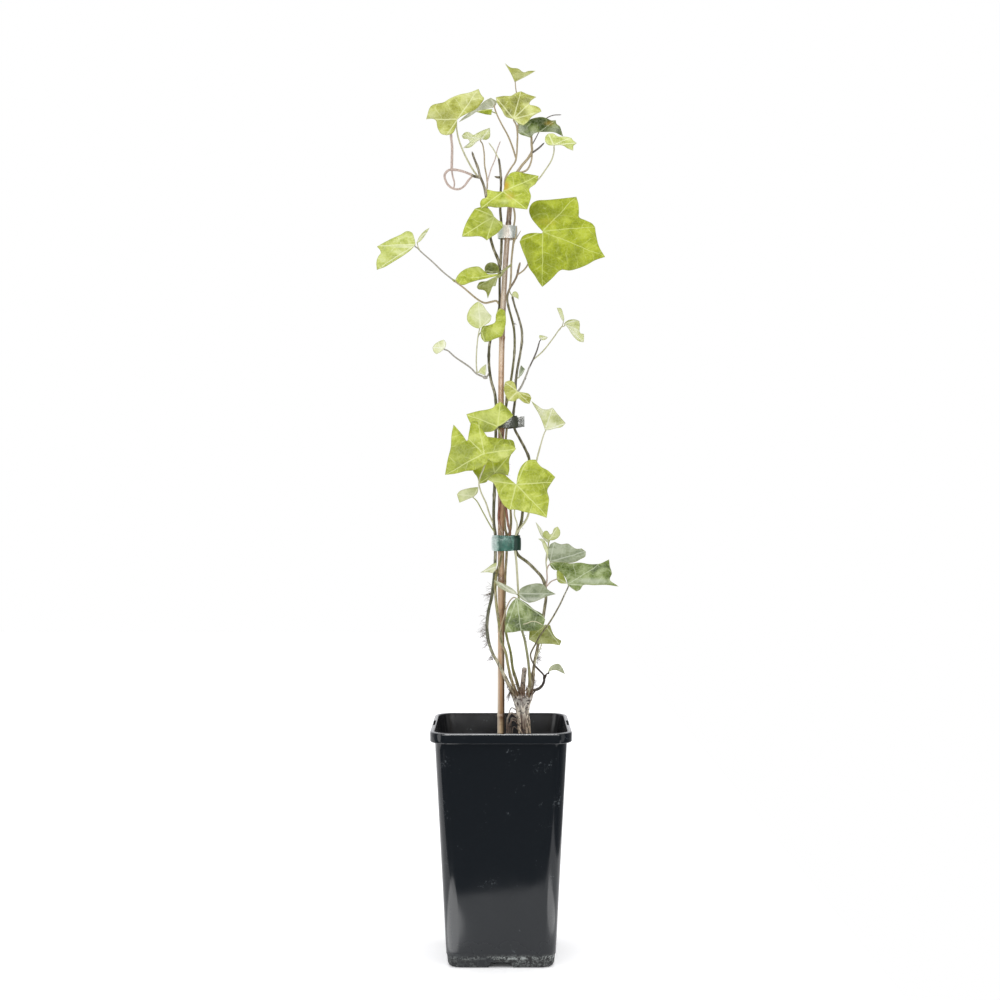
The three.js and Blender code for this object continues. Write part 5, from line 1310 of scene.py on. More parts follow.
        Shoot(1.4, """
        24.8 231 -2.5, 25.2 238 -2.5, 24.2 250.6 -2, 22.8 261 -1.5, 20.7 272.4 -1, 17.8 284 -1, 17.3 295 -1,
        15.9 308 -1""", foot=(23.8, -2.5)),
        Shoot(0.95, """
        16 305 -1, 15 316 -1.4, 14.2 330 -2.2, 13.2 344 -3.4, 12.2 352 -3.8, 12.2 362 -3.8, 15.4 368.6 -4.6,
        21 376 -4.6, 23.8 382 -3.6, 27 400 -2, 30 424 3, 34.6 443 9.6""", Bark.FAINT),
        Shoot(0.6, "33.6 439 8.2, 36.4 449 13, 38 453.6 17.4", Bark.FAINT, leaf="leaf_24"),
        Shoot(0.6, """
        12.4 363 -3.9, 14.2 373 -7.4, 11.8 382 -13, 12.6 392 -21,
        13 402 -27.4""", Bark.FAINT, leaf="leaf_28"),
        Shoot(0.5, "15.7 309.4 -1.4, 16.6 311.8 -9", leaf="leaf_36"),
        Shoot(0.5, "15.6 311.4 -1.6, 13.8 312.4 -11", leaf="leaf_37"),
    ),
    "stem_right": (
        Shoot(1.6, """
        27 231 3.2, 29 250.6 3.4, 32.4 268 3.6, 35.5 284 4, 38.2 300.5 4.6, 39.4 310 5.2, 38.5 320.5 5.6,
        36 327 5, 29 335 3.8, 22.6 341 2.8, 15.8 346 2, 13.2 350.4 1.8, 13.2 362 2.2, 15 368 2.5,
        17.8 376 2.6, 19 385 2.6, 21 400 2.2, 24 420 2, 24.6 431 2, 21 440 1.5, 16.2 449 1, 12 457 0.8,
        10.9 463 0.8, 11 472 0.8, 12.3 482 1.6, 12.7 492 2.2, 13 502 2.5""", foot=(26, 3)),
        Shoot(1.3, """
        12.8 498 2.4, 14.2 509 2.6, 17 524 2.6, 18.4 535 2.6, 18.1 544 2.5, 15.3 555 2.2, 12 565 0.6,
        9.8 573.4 0"""),
        Shoot(0.7, "39 317 5.5, 40.4 326 5, 40.2 334 5.4, 41.6 337.6 6", Bark.PINK, leaf="leaf_32"),
        Shoot(0.6, "40.2 333.6 5.3, 39.4 341 3, 40 348 3.4, 41.2 353.4 5.4", Bark.FAINT, leaf="leaf_30"),
        Shoot(0.5, "39.3 340 3.2, 40.2 343 1", Bark.FAINT, leaf="leaf_33"),
        Shoot(0.5, "40.5 351 4.4, 41.6 355.4 0, 42 358 -3.6", Bark.YOUNG, leaf="leaf_31"),
        Shoot(0.6, "39.4 318.6 5.5, 43.6 323.4 11, 46.8 325 17.4", Bark.PINK, leaf="leaf_35"),
        Shoot(0.9, "12.6 487.6 2, 17 493 3, 20.8 501 4, 25.4 513 5", Bark.ASH),
        Shoot(0.75, "24.2 510 4.8, 28.4 518.6 6, 31.5 526 7, 33.6 533.4 8.2", Bark.DUSK),
        Shoot(0.5, "33 531 7.8, 33.8 534 9", Bark.DUSK, leaf="leaf_22"),
        Shoot(0.5, "20.2 499.6 3.9, 22 501.4 3.6", Bark.DUSK),
        Shoot(0.6, "27.4 517 5.8, 36.8 525.4 13, 45.5 536.4 21, 53 546.4 28", Bark.FAINT, leaf="leaf_19"),
        Shoot(0.45, "51 543.6 25.8, 53.9 548.2 30", Bark.FAINT, leaf="leaf_20"),
        Shoot(0.5, "13.2 500.6 2.5, 14.6 501.8 2.8", leaf="leaf_44"),
    ),
    "stem_far": (
        Shoot(0.8, """
        28.4 228.4 -2.2, 32 229.4 -3, 35.6 232 -3.6, 37.8 237 -4, 37.4 241.5 -4.2, 33 246.5 -4.4,
        28.9 251 -4.8, 25.8 259 -5.4, 28 265 -7.4, 30.6 269.5 -8.6, 34 276 -10.4, 42 287 -14,
        50.8 302 -18.8, 56 313 -22""", Bark.OLD, leaf="leaf_34", foot=(26.6, -1.4)),
        Shoot(1.25, "28.4 228.4 -2.2, 32 229.4 -3, 35.6 232 -3.6, 37.8 237 -4, 37.4 241.5 -4.2", Bark.OLD),
        Shoot(1.2, "37.7 238.6 -4, 39.4 242.2 -6.6", Bark.OLD),
        Shoot(0.7, "39 241.4 -6, 40.6 243.2 -8", Bark.OLD, leaf="leaf_40"),
        Shoot(0.5, """
        29.2 250.4 -4.7, 31 257 -3.8, 33.8 264 -2.6, 36.4 271 -1.2,
        38 280 0.8""", Bark.FAINT, leaf="leaf_39"),
        Shoot(0.45, """
        19.5 286.2 -20.2, 23 287.2 -20, 27 288.8 -19.2, 31.5 288.2 -18.8, 35 286.4 -18.9, 38.4 284.4 -12,
        38.2 283.8 -1""", Bark.FAINT),
    ),
}


# ---- The pieces ---------------------------------------------------------------------------


@dataclass
class Job:
    """What every sub-assembly needs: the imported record, and the list of what it delivers."""

    slots: dict[str, str]
    delivered: list[str] = field(default_factory=list)

    def deliver(self, piece: Piece, node: str, *finishes: Material) -> None:
        """Dresses a piece and lets it stand for a node.

        Args:
            piece: the finished piece.
            node: the node that it replaces.
            finishes: its materials, where they aren't on it yet.
        """
        if finishes:
            piece.data.materials.clear()
            for finish in finishes:
                piece.data.materials.append(finish)
        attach(piece, "root")
        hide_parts(node)
        self.delivered.append(piece.name)
        LOG.info("%s: %d faces", piece.name, len(piece.data.polygons))


@dataclass
class Pot:
    """The tall square pot: tapered shell, rolled lip with two slots, foot with drain channels."""

    finish: PotFinish = field(default_factory=PotFinish)
    corner: float = 0.262
    corner_steps: int = 9
    side_steps: int = 6
    foot_half: float = 43.4
    rows: tuple[tuple[float, float], ...] = (
        (44.5, 0.5), (45.4, 2.5), (45.9, 8.2), (46.1, 8.9), (46.6, 10), (46.9, 14), (49.0, 55),
        (51.3, 100), (53.6, 145), (55.7, 185), (56.0, 191), (57.0, 191.4), (59.4, 191.4),
        (60.0, 192.0), (60.0, 198.8), (59.7, 199.6), (59.0, 200.0), (57.1, 200.0), (56.5, 199.4),
        (56.2, 197.0), (54.4, 187.0), (51.9, 145.0), (49.6, 100), (47.3, 55),
        (45.1, 12), (43.6, 8.6), (42.0, 8.0), (20.0, 8.0),
    )
    edge_round: float = 0.35
    slot_x: float = 58.2
    slot_height: float = 200.0
    slot_size: tuple[float, float, float] = (1.8, 26.0, 8.0)
    channel_half: tuple[float, float] = (11.5, 8.5)
    channel_height: float = 5.0
    channel_from: float = 20.0
    hole_radius: float = 3.2
    hole_out: float = 29.0

    def rounded_square(self, half: float, height: float) -> list[tuple[float, float, float]]:
        """Places round a square with round corners.

        Args:
            half: half the square's width, in millimetres.
            height: where it lies.

        Returns:
            The places, anticlockwise.
        """
        radius = half * self.corner
        straight = half - radius
        spots: list[tuple[float, float, float]] = []
        for turn in range(4):
            start = turn * math.pi / 2
            turned = start + math.pi / 2
            x, y = Vector((straight, straight))
            x, y = x * math.cos(start) - y * math.sin(start), x * math.sin(start) + y * math.cos(start)
            x, y = Vector((x, y))
            for i in range(self.corner_steps):
                bend = start + math.pi / 2 * i / (self.corner_steps - 1)
                spots.append((x + radius * math.cos(bend), y + radius * math.sin(bend), height))
            corner_end = Vector(spots[-1])
            along = Vector((-math.sin(turned), math.cos(turned), 0))
            for i in range(1, self.side_steps):
                spot = corner_end + along * (2 * straight * i / self.side_steps)
                spots.append((spot.x, spot.y, height))
        return spots

    def cutter(self, name: str) -> Piece:
        """Makes the shapes that are cut out of the shell, as one piece.

        Args:
            name: the cutter's name.

        Returns:
            The cutter.
        """
        parts = []
        for side in (-1, 1):
            spot = (side * self.slot_x * MM, 0, self.slot_height * MM)
            bpy.ops.object.select_all(action="DESELECT")
            bpy.ops.mesh.primitive_cube_add(size=1, location=spot)
            parts.append(bpy.context.object)
            with editing(parts[-1]):
                bpy.ops.transform.resize(value=[s * MM for s in self.slot_size], center_override=spot)
        for turn in range(4):
            parts.append(self.channel(turn))
            angle, radius = turn * math.pi / 2, self.hole_radius * MM
            spot = (math.cos(angle) * self.hole_out * MM, math.sin(angle) * self.hole_out * MM, 0.006)
            bpy.ops.object.select_all(action="DESELECT")
            bpy.ops.mesh.primitive_cylinder_add(vertices=32, radius=radius, depth=0.012, location=spot)
            parts.append(bpy.context.object)
        return join_pieces(name, parts)

    def channel(self, turn: int) -> Piece:
        """Makes one drain channel's shape, wider at the foot.

        Args:
            turn: which side of the pot, in quarter turns.

        Returns:
            The shape.
        """
        bpy.ops.object.select_all(action="DESELECT")
        bpy.ops.mesh.primitive_cube_add(size=1, location=(0, 0, 0))
        shape = bpy.context.object
        bottom, top = self.channel_half
        for vertex in shape.data.vertices:
            out = (self.channel_from if vertex.co.x < 0 else 60.0) * MM
            across = (bottom if vertex.co.z < 0 else top) * MM
            high = -0.002 if vertex.co.z < 0 else self.channel_height * MM
            x, y = Vector((out, math.copysign(across, vertex.co.y)))
            cos, sin = math.cos(turn * math.pi / 2), math.sin(turn * math.pi / 2)
            vertex.co = (x * cos - y * sin, x * sin + y * cos, high)
        return shape

    def build(self, job: Job) -> None:
        """Models the pot and puts it in place of its node.

        Args:
            job: what it delivers to.
        """
        shell = ring_start("pot_shell", self.rounded_square(self.foot_half, 0))
        pull_rings(shell, self.foot_half, 0, self.rows)
        cutter = self.cutter("pot_cutter")
        finish_with(shell, "BOOLEAN", object=cutter, operation="DIFFERENCE", solver="EXACT")
        bpy.data.objects.remove(cutter)
        sharp = math.radians(50)
        wide = self.edge_round * MM
        finish_with(shell, "BEVEL", width=wide, segments=2, limit_method="ANGLE", angle_limit=sharp)
        smooth_shade(shell, 32)
        inside = shell.data.attributes.new("inside", "FLOAT", "POINT")
        for vertex in shell.data.vertices:
            outward = vertex.normal.xy.dot(vertex.co.xy)
            inside.data[vertex.index].value = float(outward < -0.3 * vertex.co.xy.length)
        job.deliver(shell, "pot", self.finish.material())


@dataclass
class Compost:
    """The filling: crumbs and chips over a body that reaches down to the pot's floor."""

    finish: CompostFinish = field(default_factory=CompostFinish)
    top: float = 176.0
    top_half: float = 52.9
    foot: float = 8.4
    foot_half: float = 42.0
    ring_count: int = 30
    chip_count: int = 80
    crumb_height: float = 1.6

    def build(self, job: Job, pot: Pot) -> None:
        """Models the filling and puts it in place of its node.

        Args:
            job: what it delivers to.
            pot: the pot, for its rounded square.
        """
        body = ring_start("compost_fill", self.ring(pot))
        count = self.ring_count
        rows = tuple((self.top_half * (1 - i / count), self.top) for i in range(count))
        pull_rings(body, self.foot_half, self.foot, rows)
        for vertex in body.data.vertices:
            if vertex.co.z > (self.top - 1) * MM:
                spot = vertex.co / MM
                lift = noise.noise(spot * 0.11) * 1.6 + noise.noise(spot * 0.45) * self.crumb_height
                vertex.co.z += (lift - 0.9) * MM
        smooth_shade(body, 60)
        job.deliver(join_pieces("compost", [body, *self.chips()]), "soil", self.finish.material())

    def ring(self, pot: Pot) -> list[tuple[float, float, float]]:
        """The filling's lowest ring, with points close enough for crumbs."""
        fine = Pot(corner_steps=pot.corner_steps + 5, side_steps=48)
        return fine.rounded_square(self.foot_half, self.foot)

    def chips(self) -> list[Piece]:
        """Models one chip and scatters copies of it.

        Returns:
            The chips.
        """
        bpy.ops.object.select_all(action="DESELECT")
        bpy.ops.mesh.primitive_ico_sphere_add(subdivisions=2, radius=0.001)
        first = bpy.context.object
        for vertex in first.data.vertices:
            vertex.co *= 1 + 0.35 * noise.noise(vertex.co * 900)
        chips = [first]
        for i in range(1, self.chip_count):
            chip = first.copy()
            chip.data = first.data.copy()
            bpy.context.collection.objects.link(chip)
            chips.append(chip)
        for i, chip in enumerate(chips):
            turn, out = i * GOLDEN_TURN, math.sqrt((i + 0.5) / self.chip_count)
            x, y = (max(-49.0, min(49.0, way(turn) * out * 60)) for way in (math.cos, math.sin))
            wide = 1.1 + 1.3 * abs(noise.noise(Vector((i * 1.7, 3.1, 0.4))))
            long = wide * (1.2 + 1.6 * abs(noise.noise(Vector((i * 0.9, 7.7, 1.9)))))
            spin = i * 1.13
            for vertex in chip.data.vertices:
                a, b = vertex.co.x * long, vertex.co.y * wide
                vertex.co = (
                    a * math.cos(spin) - b * math.sin(spin) + x * MM,
                    a * math.sin(spin) + b * math.cos(spin) + y * MM,
                    vertex.co.z * wide * 0.6 + (self.top - 0.5) * MM,
                )
        return chips


@dataclass
class Cane:
    """The bamboo cane: swollen joints, a groove above each, and a slight bow at the top."""

    name: str = "bamboo_culm"
    foot: float = 20.0
    top: float = 668.0
    foot_radius: float = 3.5
    top_radius: float = 2.2
    bow_from: float = 480.0
    joint_levels: tuple[float, ...] = (-3, -1.4, -0.6, 0, 0.7, 1.4, 2.4, 3.4)
    level_step: float = 8.0
    joints: tuple[float, ...] = (96.0, 206.0, 325.0, 431.0, 537.0, 637.0)
    sides: int = 28

    def radius(self, height: float) -> float:
        """The cane's radius at a height, with its joints.

        Args:
            height: the height in millimetres.

        Returns:
            The radius in millimetres.
        """
        share = (height - self.foot) / (self.top - self.foot)
        plain = self.foot_radius + (self.top_radius - self.foot_radius) * share
        for joint in self.joints:
            off = height - joint
            plain += 0.3 * math.exp(-((off / 1.3) ** 2)) - 0.16 * math.exp(-(((off - 2.4) / 0.7) ** 2))
        return plain

    def middle(self, height: float) -> float:
        """How far the cane's middle lies to the right at a height."""
        lean = max(0.0, height - self.bow_from)
        return lean * lean * 0.000258 + lean * 0.0008

    def build(self, job: Job) -> None:
        """Models the cane and puts it in place of its node.

        Args:
            job: what it delivers to.
        """
        count = int((self.top - self.foot) / self.level_step) + 1
        heights = {self.foot + self.level_step * i for i in range(count)}
        heights |= {joint + off for joint in self.joints for off in self.joint_levels}
        heights |= {self.top}
        levels = sorted(h for h in heights if h <= self.top)
        start = self.radius(levels[0])
        spots = [
            (start * math.cos(a), start * math.sin(a), levels[0])
            for a in (i * 2 * math.pi / self.sides for i in range(self.sides))
        ]
        cane = ring_start("cane_stick", spots)
        rows = tuple((self.radius(h), h) for h in levels[1:])
        last = rows[-1][0]
        end = ((last * 0.86, self.top + 0.25), (last * 0.5, self.top - 0.4))
        pull_rings(cane, start, levels[0], (*rows, *end))
        for vertex in cane.data.vertices:
            vertex.co.x += self.middle(vertex.co.z / MM) * MM
        smooth_shade(cane, 50)
        job.deliver(cane, "cane", self.material())

    def material(self) -> Material:
        """Bamboo culm: a hard waxy rind over long fibres, stained and weathered along it.

        Returns:
            The material.
        """
        material, add, place = new_material(self.name)
        height = add("SeparateXYZ", place, out="Z")
        low, high, stops = height_ramp(
            (
                (20, "#c89e6a"), (176, "#f0cc98"), (200, "#f4d29e"), (205, "#94683e"), (210, "#d2a064"),
                (222, "#cc965a"), (300, "#cc9c66"), (318, "#d8b48a"), (325, "#8a5a2a"), (331, "#d5ae80"),
                (372, "#d0a070"), (430, "#c78f58"), (437, "#a86f3e"), (470, "#cf9c66"), (530, "#dcbc9a"),
                (537, "#9a6a40"), (543, "#e2caae"), (600, "#e4d0ba"), (634, "#d2b294"), (638, "#5a4030"),
                (644, "#d2bca4"), (668, "#bfa68a"),
            )
        )
        colour = add("ValToRGB", add("MapRange", height, low, high), stops=stops)
        long = add("Mapping", {"Vector": place, "Scale": (1.0, 1.0, 0.03)})
        fibres = add("TexNoise", {"Vector": long, "Scale": 1400.0, "Detail": 3.0, "Roughness": 0.6})
        bands = add("TexNoise", {"Vector": long, "Scale": 420.0, "Detail": 2.0})
        blotch = add("TexNoise", {"Vector": place, "Scale": 90.0, "Detail": 5.0, "Roughness": 0.65})
        # Painted light: the rind is painted pale on its left as a painted highlight and dark on its right as
        # painted shade, most of all near the filling.
        across = add("SeparateXYZ", place, out="X")
        painted_side_light = add("MapRange", height, 0.23, 0.4, 0.95, 0.25)
        coats = (
            (add("MapRange", bands, 0.5, 0.62, {4: 0.5}), "#f0dcbc"),
            (add("MapRange", bands, 0.36, 0.48, 0.5, 0.0), "#8a5c30"),
            (add("MapRange", blotch, 0.52, 0.66, {4: 0.6}), "#8c6238"),
            (add("MapRange", fibres, 0.35, 0.5, 0.3, 0.0), "#93693f"),
            (add("MapRange", across, -0.0036, -0.0002, painted_side_light, 0.0), "#fff3de"),
            (add("MapRange", across, 0.0, 0.0024, {4: painted_side_light}), "#301e0c"),
        )
        bump = add("Bump", {"Strength": 0.3, "Distance": 0.0003, "Height": fibres})
        for amount, tone in coats:
            colour = add("Mix", amount, {6: colour, 7: linear(tone)}, out=2, data_type="RGBA")
        return dress(material, {"Base Color": colour, "Normal": bump, "Roughness": 0.45, "IOR": 1.5})


@dataclass
class RootCollar:
    """The rooted base: twisted roots round a core painted dark as shade, a fibrous knot, a cut stub and bent
    roots.
    """

    name: str = "ivy_root_bark"
    centre: float = 18.8
    lean: float = 1.8
    rows: tuple[tuple[float, float, float], ...] = (
        (150, 5.0, 5.0), (186, 5.1, 5.0), (200, 4.9, 4.7), (213, 5.8, 4.9), (219, 7.3, 5.9),
        (223, 8.8, 6.7),
    )
    sides: int = 24
    strands: int = 17
    strand_top: float = 224.4
    strand_steps: int = 24
    strand_step: float = 2.9
    knot_roots: int = 46
    stub: tuple[Place, ...] = ((19.3, 218, 0), (19.0, 230, 0), (20.6, 247.6, 0))
    bent: tuple[tuple[float, tuple[Place, ...]], ...] = (
        (0.9, ((15.5, 204, -2), (9, 209, -3.4), (6, 205, -4.4), (5.2, 194, -5), (5.4, 177, -5))),
        (0.8, ((15.5, 201, 1), (10, 204, 1), (8.4, 197, 0), (8.6, 187, 0), (9.4, 177, 0))),
        (0.5, ((15.8, 198, -3), (10.6, 203, -5), (7.4, 200, -6), (6.8, 191, -6.4), (7.6, 177, -6))),
        (0.5, ((14.8, 210, 0), (9.4, 213, 1), (6.8, 207, 2), (6.2, 197, 2.6), (7, 177, 3))),
        (0.45, ((16.2, 193, -2), (11, 197, -3), (9.8, 191, -3.6), (10.4, 183, -4), (11, 177, -4))),
    )

    def half(self, height: float) -> tuple[float, float]:
        """How wide and deep the bundle is at a height.

        Args:
            height: the height in millimetres.

        Returns:
            Half the width and half the depth.
        """
        for (low, w0, d0), (high, w1, d1) in zip(self.rows, self.rows[1:]):
            if height <= high:
                share = max(0.0, (height - low) / (high - low))
                return w0 + (w1 - w0) * share, d0 + (d1 - d0) * share
        return self.rows[-1][1], self.rows[-1][2]

    def middle(self, height: float) -> float:
        """Where the bundle's middle lies at a height, to the right as it goes down."""
        return self.centre + self.lean * max(0.0, min(1.0, (219 - height) / 30))

    def build(self, job: Job) -> None:
        """Models the roots and puts them in place of their node.

        Args:
            job: what it delivers to.
        """
        start = self.rows[0]
        turns = [i * 2 * math.pi / self.sides for i in range(self.sides)]
        spots = [(start[1] * math.cos(a), start[2] * math.sin(a), start[0]) for a in turns]
        core = ring_start("root_core", spots)
        pull_rings(core, start[1], start[0], tuple((w - 0.5, z - 0.6) for z, w, _ in self.rows[1:]))
        for vertex in core.data.vertices:
            vertex.co.x += self.middle(vertex.co.z / MM) * MM
        stub_path = smooth_path([Vector((x, y, z)) * MM for x, z, y in self.stub], 1.5 * MM)
        stub_path.append(stub_path[-1] + Vector((0.0001, 0, 0.0008)))
        girth = [2.1 + 0.5 * noise.noise(p / MM * 0.3) for p in stub_path]
        girth[-1] = 1.4
        parts = [core]
        for name, runs, root, steps in (
            ("root_strands", self.strand_runs(), 1.0, 3), ("root_bent", self.bent_runs(), 0.12, 3),
            ("root_knot", self.knot_runs(), 0.35, 2), ("root_stub", [(stub_path, girth)], 0.8, 5),
        ):
            part = tubes(name, runs, 1.0, steps)
            mark_all(part, root=root)
            parts.append(part)
        mark_all(core, root=0.0)
        for part in parts:
            smooth_shade(part, 60)
        job.deliver(join_pieces("root_collar_bundle", parts), "root_collar", self.material())

    def strand_runs(self) -> list[Run]:
        """Lays out the roots that twist round the bundle.

        Returns:
            Their paths, with their thickness at each point.
        """
        runs = []
        for i in range(self.strands):
            angle = i * 2 * math.pi / self.strands + 0.3
            way = 1 if i % 3 else -1
            path = []
            for step in range(self.strand_steps):
                height = self.strand_top - step * self.strand_step
                wide, deep = self.half(height)
                inset = 0.5 * abs(noise.noise(Vector((i * 2.1, step * 0.2, 4.0))))
                sway = angle + way * step * 0.018 + 1.1 * noise.noise(Vector((i * 3.3, step * 0.2, 0.5)))
                x, y = (wide - inset) * math.cos(sway), (deep - inset) * math.sin(sway)
                path.append(Vector((self.middle(height) + x, y, height)) * MM)
            thick = 0.55 + 0.95 * abs(noise.noise(Vector((i * 5.1, 2.2, 8.8))))
            knots = [1 + 0.5 * noise.noise(Vector((i * 2.0, k * 0.8, 1.0))) for k in range(self.strand_steps)]
            runs.append((path, [thick * knot for knot in knots]))
        return runs

    def bent_runs(self) -> list[Run]:
        """Lays out the bent roots that reach the filling.

        Returns:
            Their paths, with their thickness at each point.
        """
        runs = []
        for radius, places in self.bent:
            path = smooth_path([Vector((x, y, z)) * MM for x, z, y in places], 1.4 * MM)
            runs.append((path, [radius * (1 + 0.2 * noise.noise(p / MM * 0.5)) for p in path]))
        return runs

    def knot_runs(self) -> list[Run]:
        """Lays out the short dead fibres that stand up between the stems.

        Returns:
            Their paths, with their thickness at each point.
        """
        runs = []
        for i in range(self.knot_roots):
            angle, out = i * GOLDEN_TURN, math.sqrt((i + 0.5) / self.knot_roots)
            wide, deep = self.half(223)
            spot = Vector((self.centre + wide * out * math.cos(angle), deep * out * math.sin(angle), 222))
            bend = noise.noise_vector(Vector((i * 1.7, 5.0, 2.0)))
            lean = Vector((math.cos(angle) * 0.5 + bend.x, math.sin(angle) * 0.4 + bend.y * 0.6, 1.2))
            long = 5 + 9 * abs(bend.z)
            side = Vector((bend.z, bend.x, 0)) * 2.2
            path = [(spot + lean * long * t / 4 + side * math.sin(t * 1.3)) * MM for t in range(5)]
            thick = 0.35 + 0.35 * abs(bend.y)
            runs.append((path, [thick * t for t in (1.5, 1.3, 1.0, 0.8, 0.4)]))
        return runs

    def material(self) -> Material:
        """Root bark: dry and corky, cream on the roots, with painted shade dark in the gaps between them.

        Returns:
            The material.
        """
        material, add, place = new_material(self.name)
        height = add("SeparateXYZ", place, out="Z")
        low, high, stops = height_ramp(
            (
                (176, "#ccb798"), (190, "#dcc6a6"), (200, "#ead8bc"), (209, "#fdf3df"), (222, "#fff9ec"),
                (226, "#94765a"), (235, "#9c8c76"), (240, "#b8ac9a"), (250, "#d8d0c2"),
            )
        )
        colour = add("ValToRGB", add("MapRange", height, low, high), stops=stops)
        # The core is painted dark brown as painted shade in the gaps between the roots; the bent roots, the
        # knot and the stub take some of the same brown as their own colour.
        root = add("Attribute", out="Fac", attribute_name="root")
        open_top = add("MapRange", height, 0.2, 0.214, 0.95, 0.4)
        brown_and_gap_shade = add("MapRange", root, {3: open_top, 4: 0.0})
        # Each root is 1 to 2 mm thick and has a tone of its own, drawn out along it.
        long = add("Mapping", {"Vector": place, "Scale": (1.0, 1.0, 0.2)})
        tone = add("TexNoise", {"Vector": long, "Scale": 560.0, "Detail": 2.0})
        mottle = add("TexNoise", {"Vector": place, "Scale": 360.0, "Detail": 6.0, "Roughness": 0.66})
        # Painted shade: a dark line where the roots part a little in front of the core, below the knot.
        apart = add("Math:SUBTRACT", add("SeparateXYZ", place, out="X"), 0.0206)
        apart = add("Math:ABSOLUTE", apart)
        apart = add("MapRange", apart, 0.0006, 0.0026, 0.7, 0.0)
        below = add("MapRange", height, 0.203, 0.21, 1.0, 0.0)
        apart = add("Math:MULTIPLY", apart, below)
        coats = (
            (brown_and_gap_shade, "#361f15"), (apart, "#4c2c1c"), (add("MapRange", tone, 0.52, 0.58, {4: 0.5}), "#6c4430"),
            (add("MapRange", mottle, 0.56, 0.59, {4: 0.9}), "#2a1c12"),
        )
        for amount, tone in coats:
            colour = add("Mix", amount, {6: colour, 7: linear(tone)}, out=2, data_type="RGBA")
        bump = add("Bump", {"Strength": 0.6, "Distance": 0.0004, "Height": mottle})
        return dress(material, {"Base Color": colour, "Normal": bump, "Roughness": 0.85})


@dataclass
class Tie:
    """A strip of tying tape wound twice round the cane and the stems."""

    node: str
    finish: TapeFinish
    x: float
    half_width: float
    half_depth: float
    low: float
    high: float
    wave: float
    flag: tuple[float, float, float, float] | None = None
    sides: int = 72
    thickness: float = 0.42
    inset: float = 0.55
    bulges: tuple[float, ...] = (1.012, 1.006, 1.0, 0.995, 0.988)

    def turn(self, name: str, grow: float, low: float, high: float, phase: float) -> Piece:
        """Models one turn of the tape.

        Args:
            name: the piece's name.
            grow: how far it lies outside the first turn, in millimetres.
            low: its lower edge.
            high: its upper edge.
            phase: where its ripples start.

        Returns:
            The turn, an open band.
        """
        spots = []
        for i in range(self.sides):
            a = i * 2 * math.pi / self.sides
            flat = 1 + 0.03 * math.sin(3 * a + phase)
            wide, deep = (self.half_width + grow) * flat, (self.half_depth + grow) * flat
            spots.append((wide * math.cos(a), deep * math.sin(a), low))
        band = ring_start(name, spots)
        with editing(band):
            for bulge in self.bulges:
                rise = (high - low) / len(self.bulges) * MM
                bpy.ops.mesh.extrude_edges_move(TRANSFORM_OT_translate={"value": (0.0, 0.0, rise)})
                bpy.ops.transform.resize(value=(bulge, bulge, 1.0), center_override=(0.0, 0.0, 0.0))
            face_outwards()
        for vertex in band.data.vertices:
            a = math.atan2(vertex.co.y, vertex.co.x)
            ripple = self.wave * (math.sin(2 * a + phase) + 0.5 * math.sin(5 * a + 2 * phase))
            vertex.co.z += ripple * MM
            vertex.co.x += self.x * MM
        return band

    def build(self, job: Job) -> None:
        """Models the tie and puts it in place of its node.

        Args:
            job: what it delivers to.
        """
        tall = self.high - self.low
        parts = [
            self.turn(f"{self.node}_inner", -self.inset, self.low + 0.1 * tall, self.high, 0.4),
            self.turn(f"{self.node}_outer", 0.0, self.low, self.high - 0.16 * tall, 2.3),
        ]
        piece = join_pieces(f"{self.node}_tape", parts)
        finish_with(piece, "SOLIDIFY", thickness=self.thickness * MM, offset=0.0)
        if self.flag:
            piece = join_pieces(f"{self.node}_tape", [piece, self.loose_end()])
        smooth_shade(piece, 50)
        job.deliver(piece, self.node, self.finish.material())

    def loose_end(self) -> Piece:
        """Models the tape's loose end, which sticks out sideways.

        Returns:
            The loose end.
        """
        x, z, wide, tall = self.flag
        bpy.ops.object.select_all(action="DESELECT")
        bpy.ops.mesh.primitive_grid_add(x_subdivisions=10, y_subdivisions=8, size=1)
        end = bpy.context.object
        end.name = f"{self.node}_end"
        for vertex in end.data.vertices:
            a, b = vertex.co.x, vertex.co.y
            bow = 0.35 * math.sin(a * 5) + 0.5 * b * b
            lift = 0.6 * noise.noise(Vector((a * 2.5, b * 2.5, 3.0)))
            vertex.co = ((x + a * wide) * MM, bow * MM, (z + b * tall + a * 0.8 + lift) * MM)
        finish_with(end, "SOLIDIFY", thickness=0.4 * MM, offset=0.0)
        return end


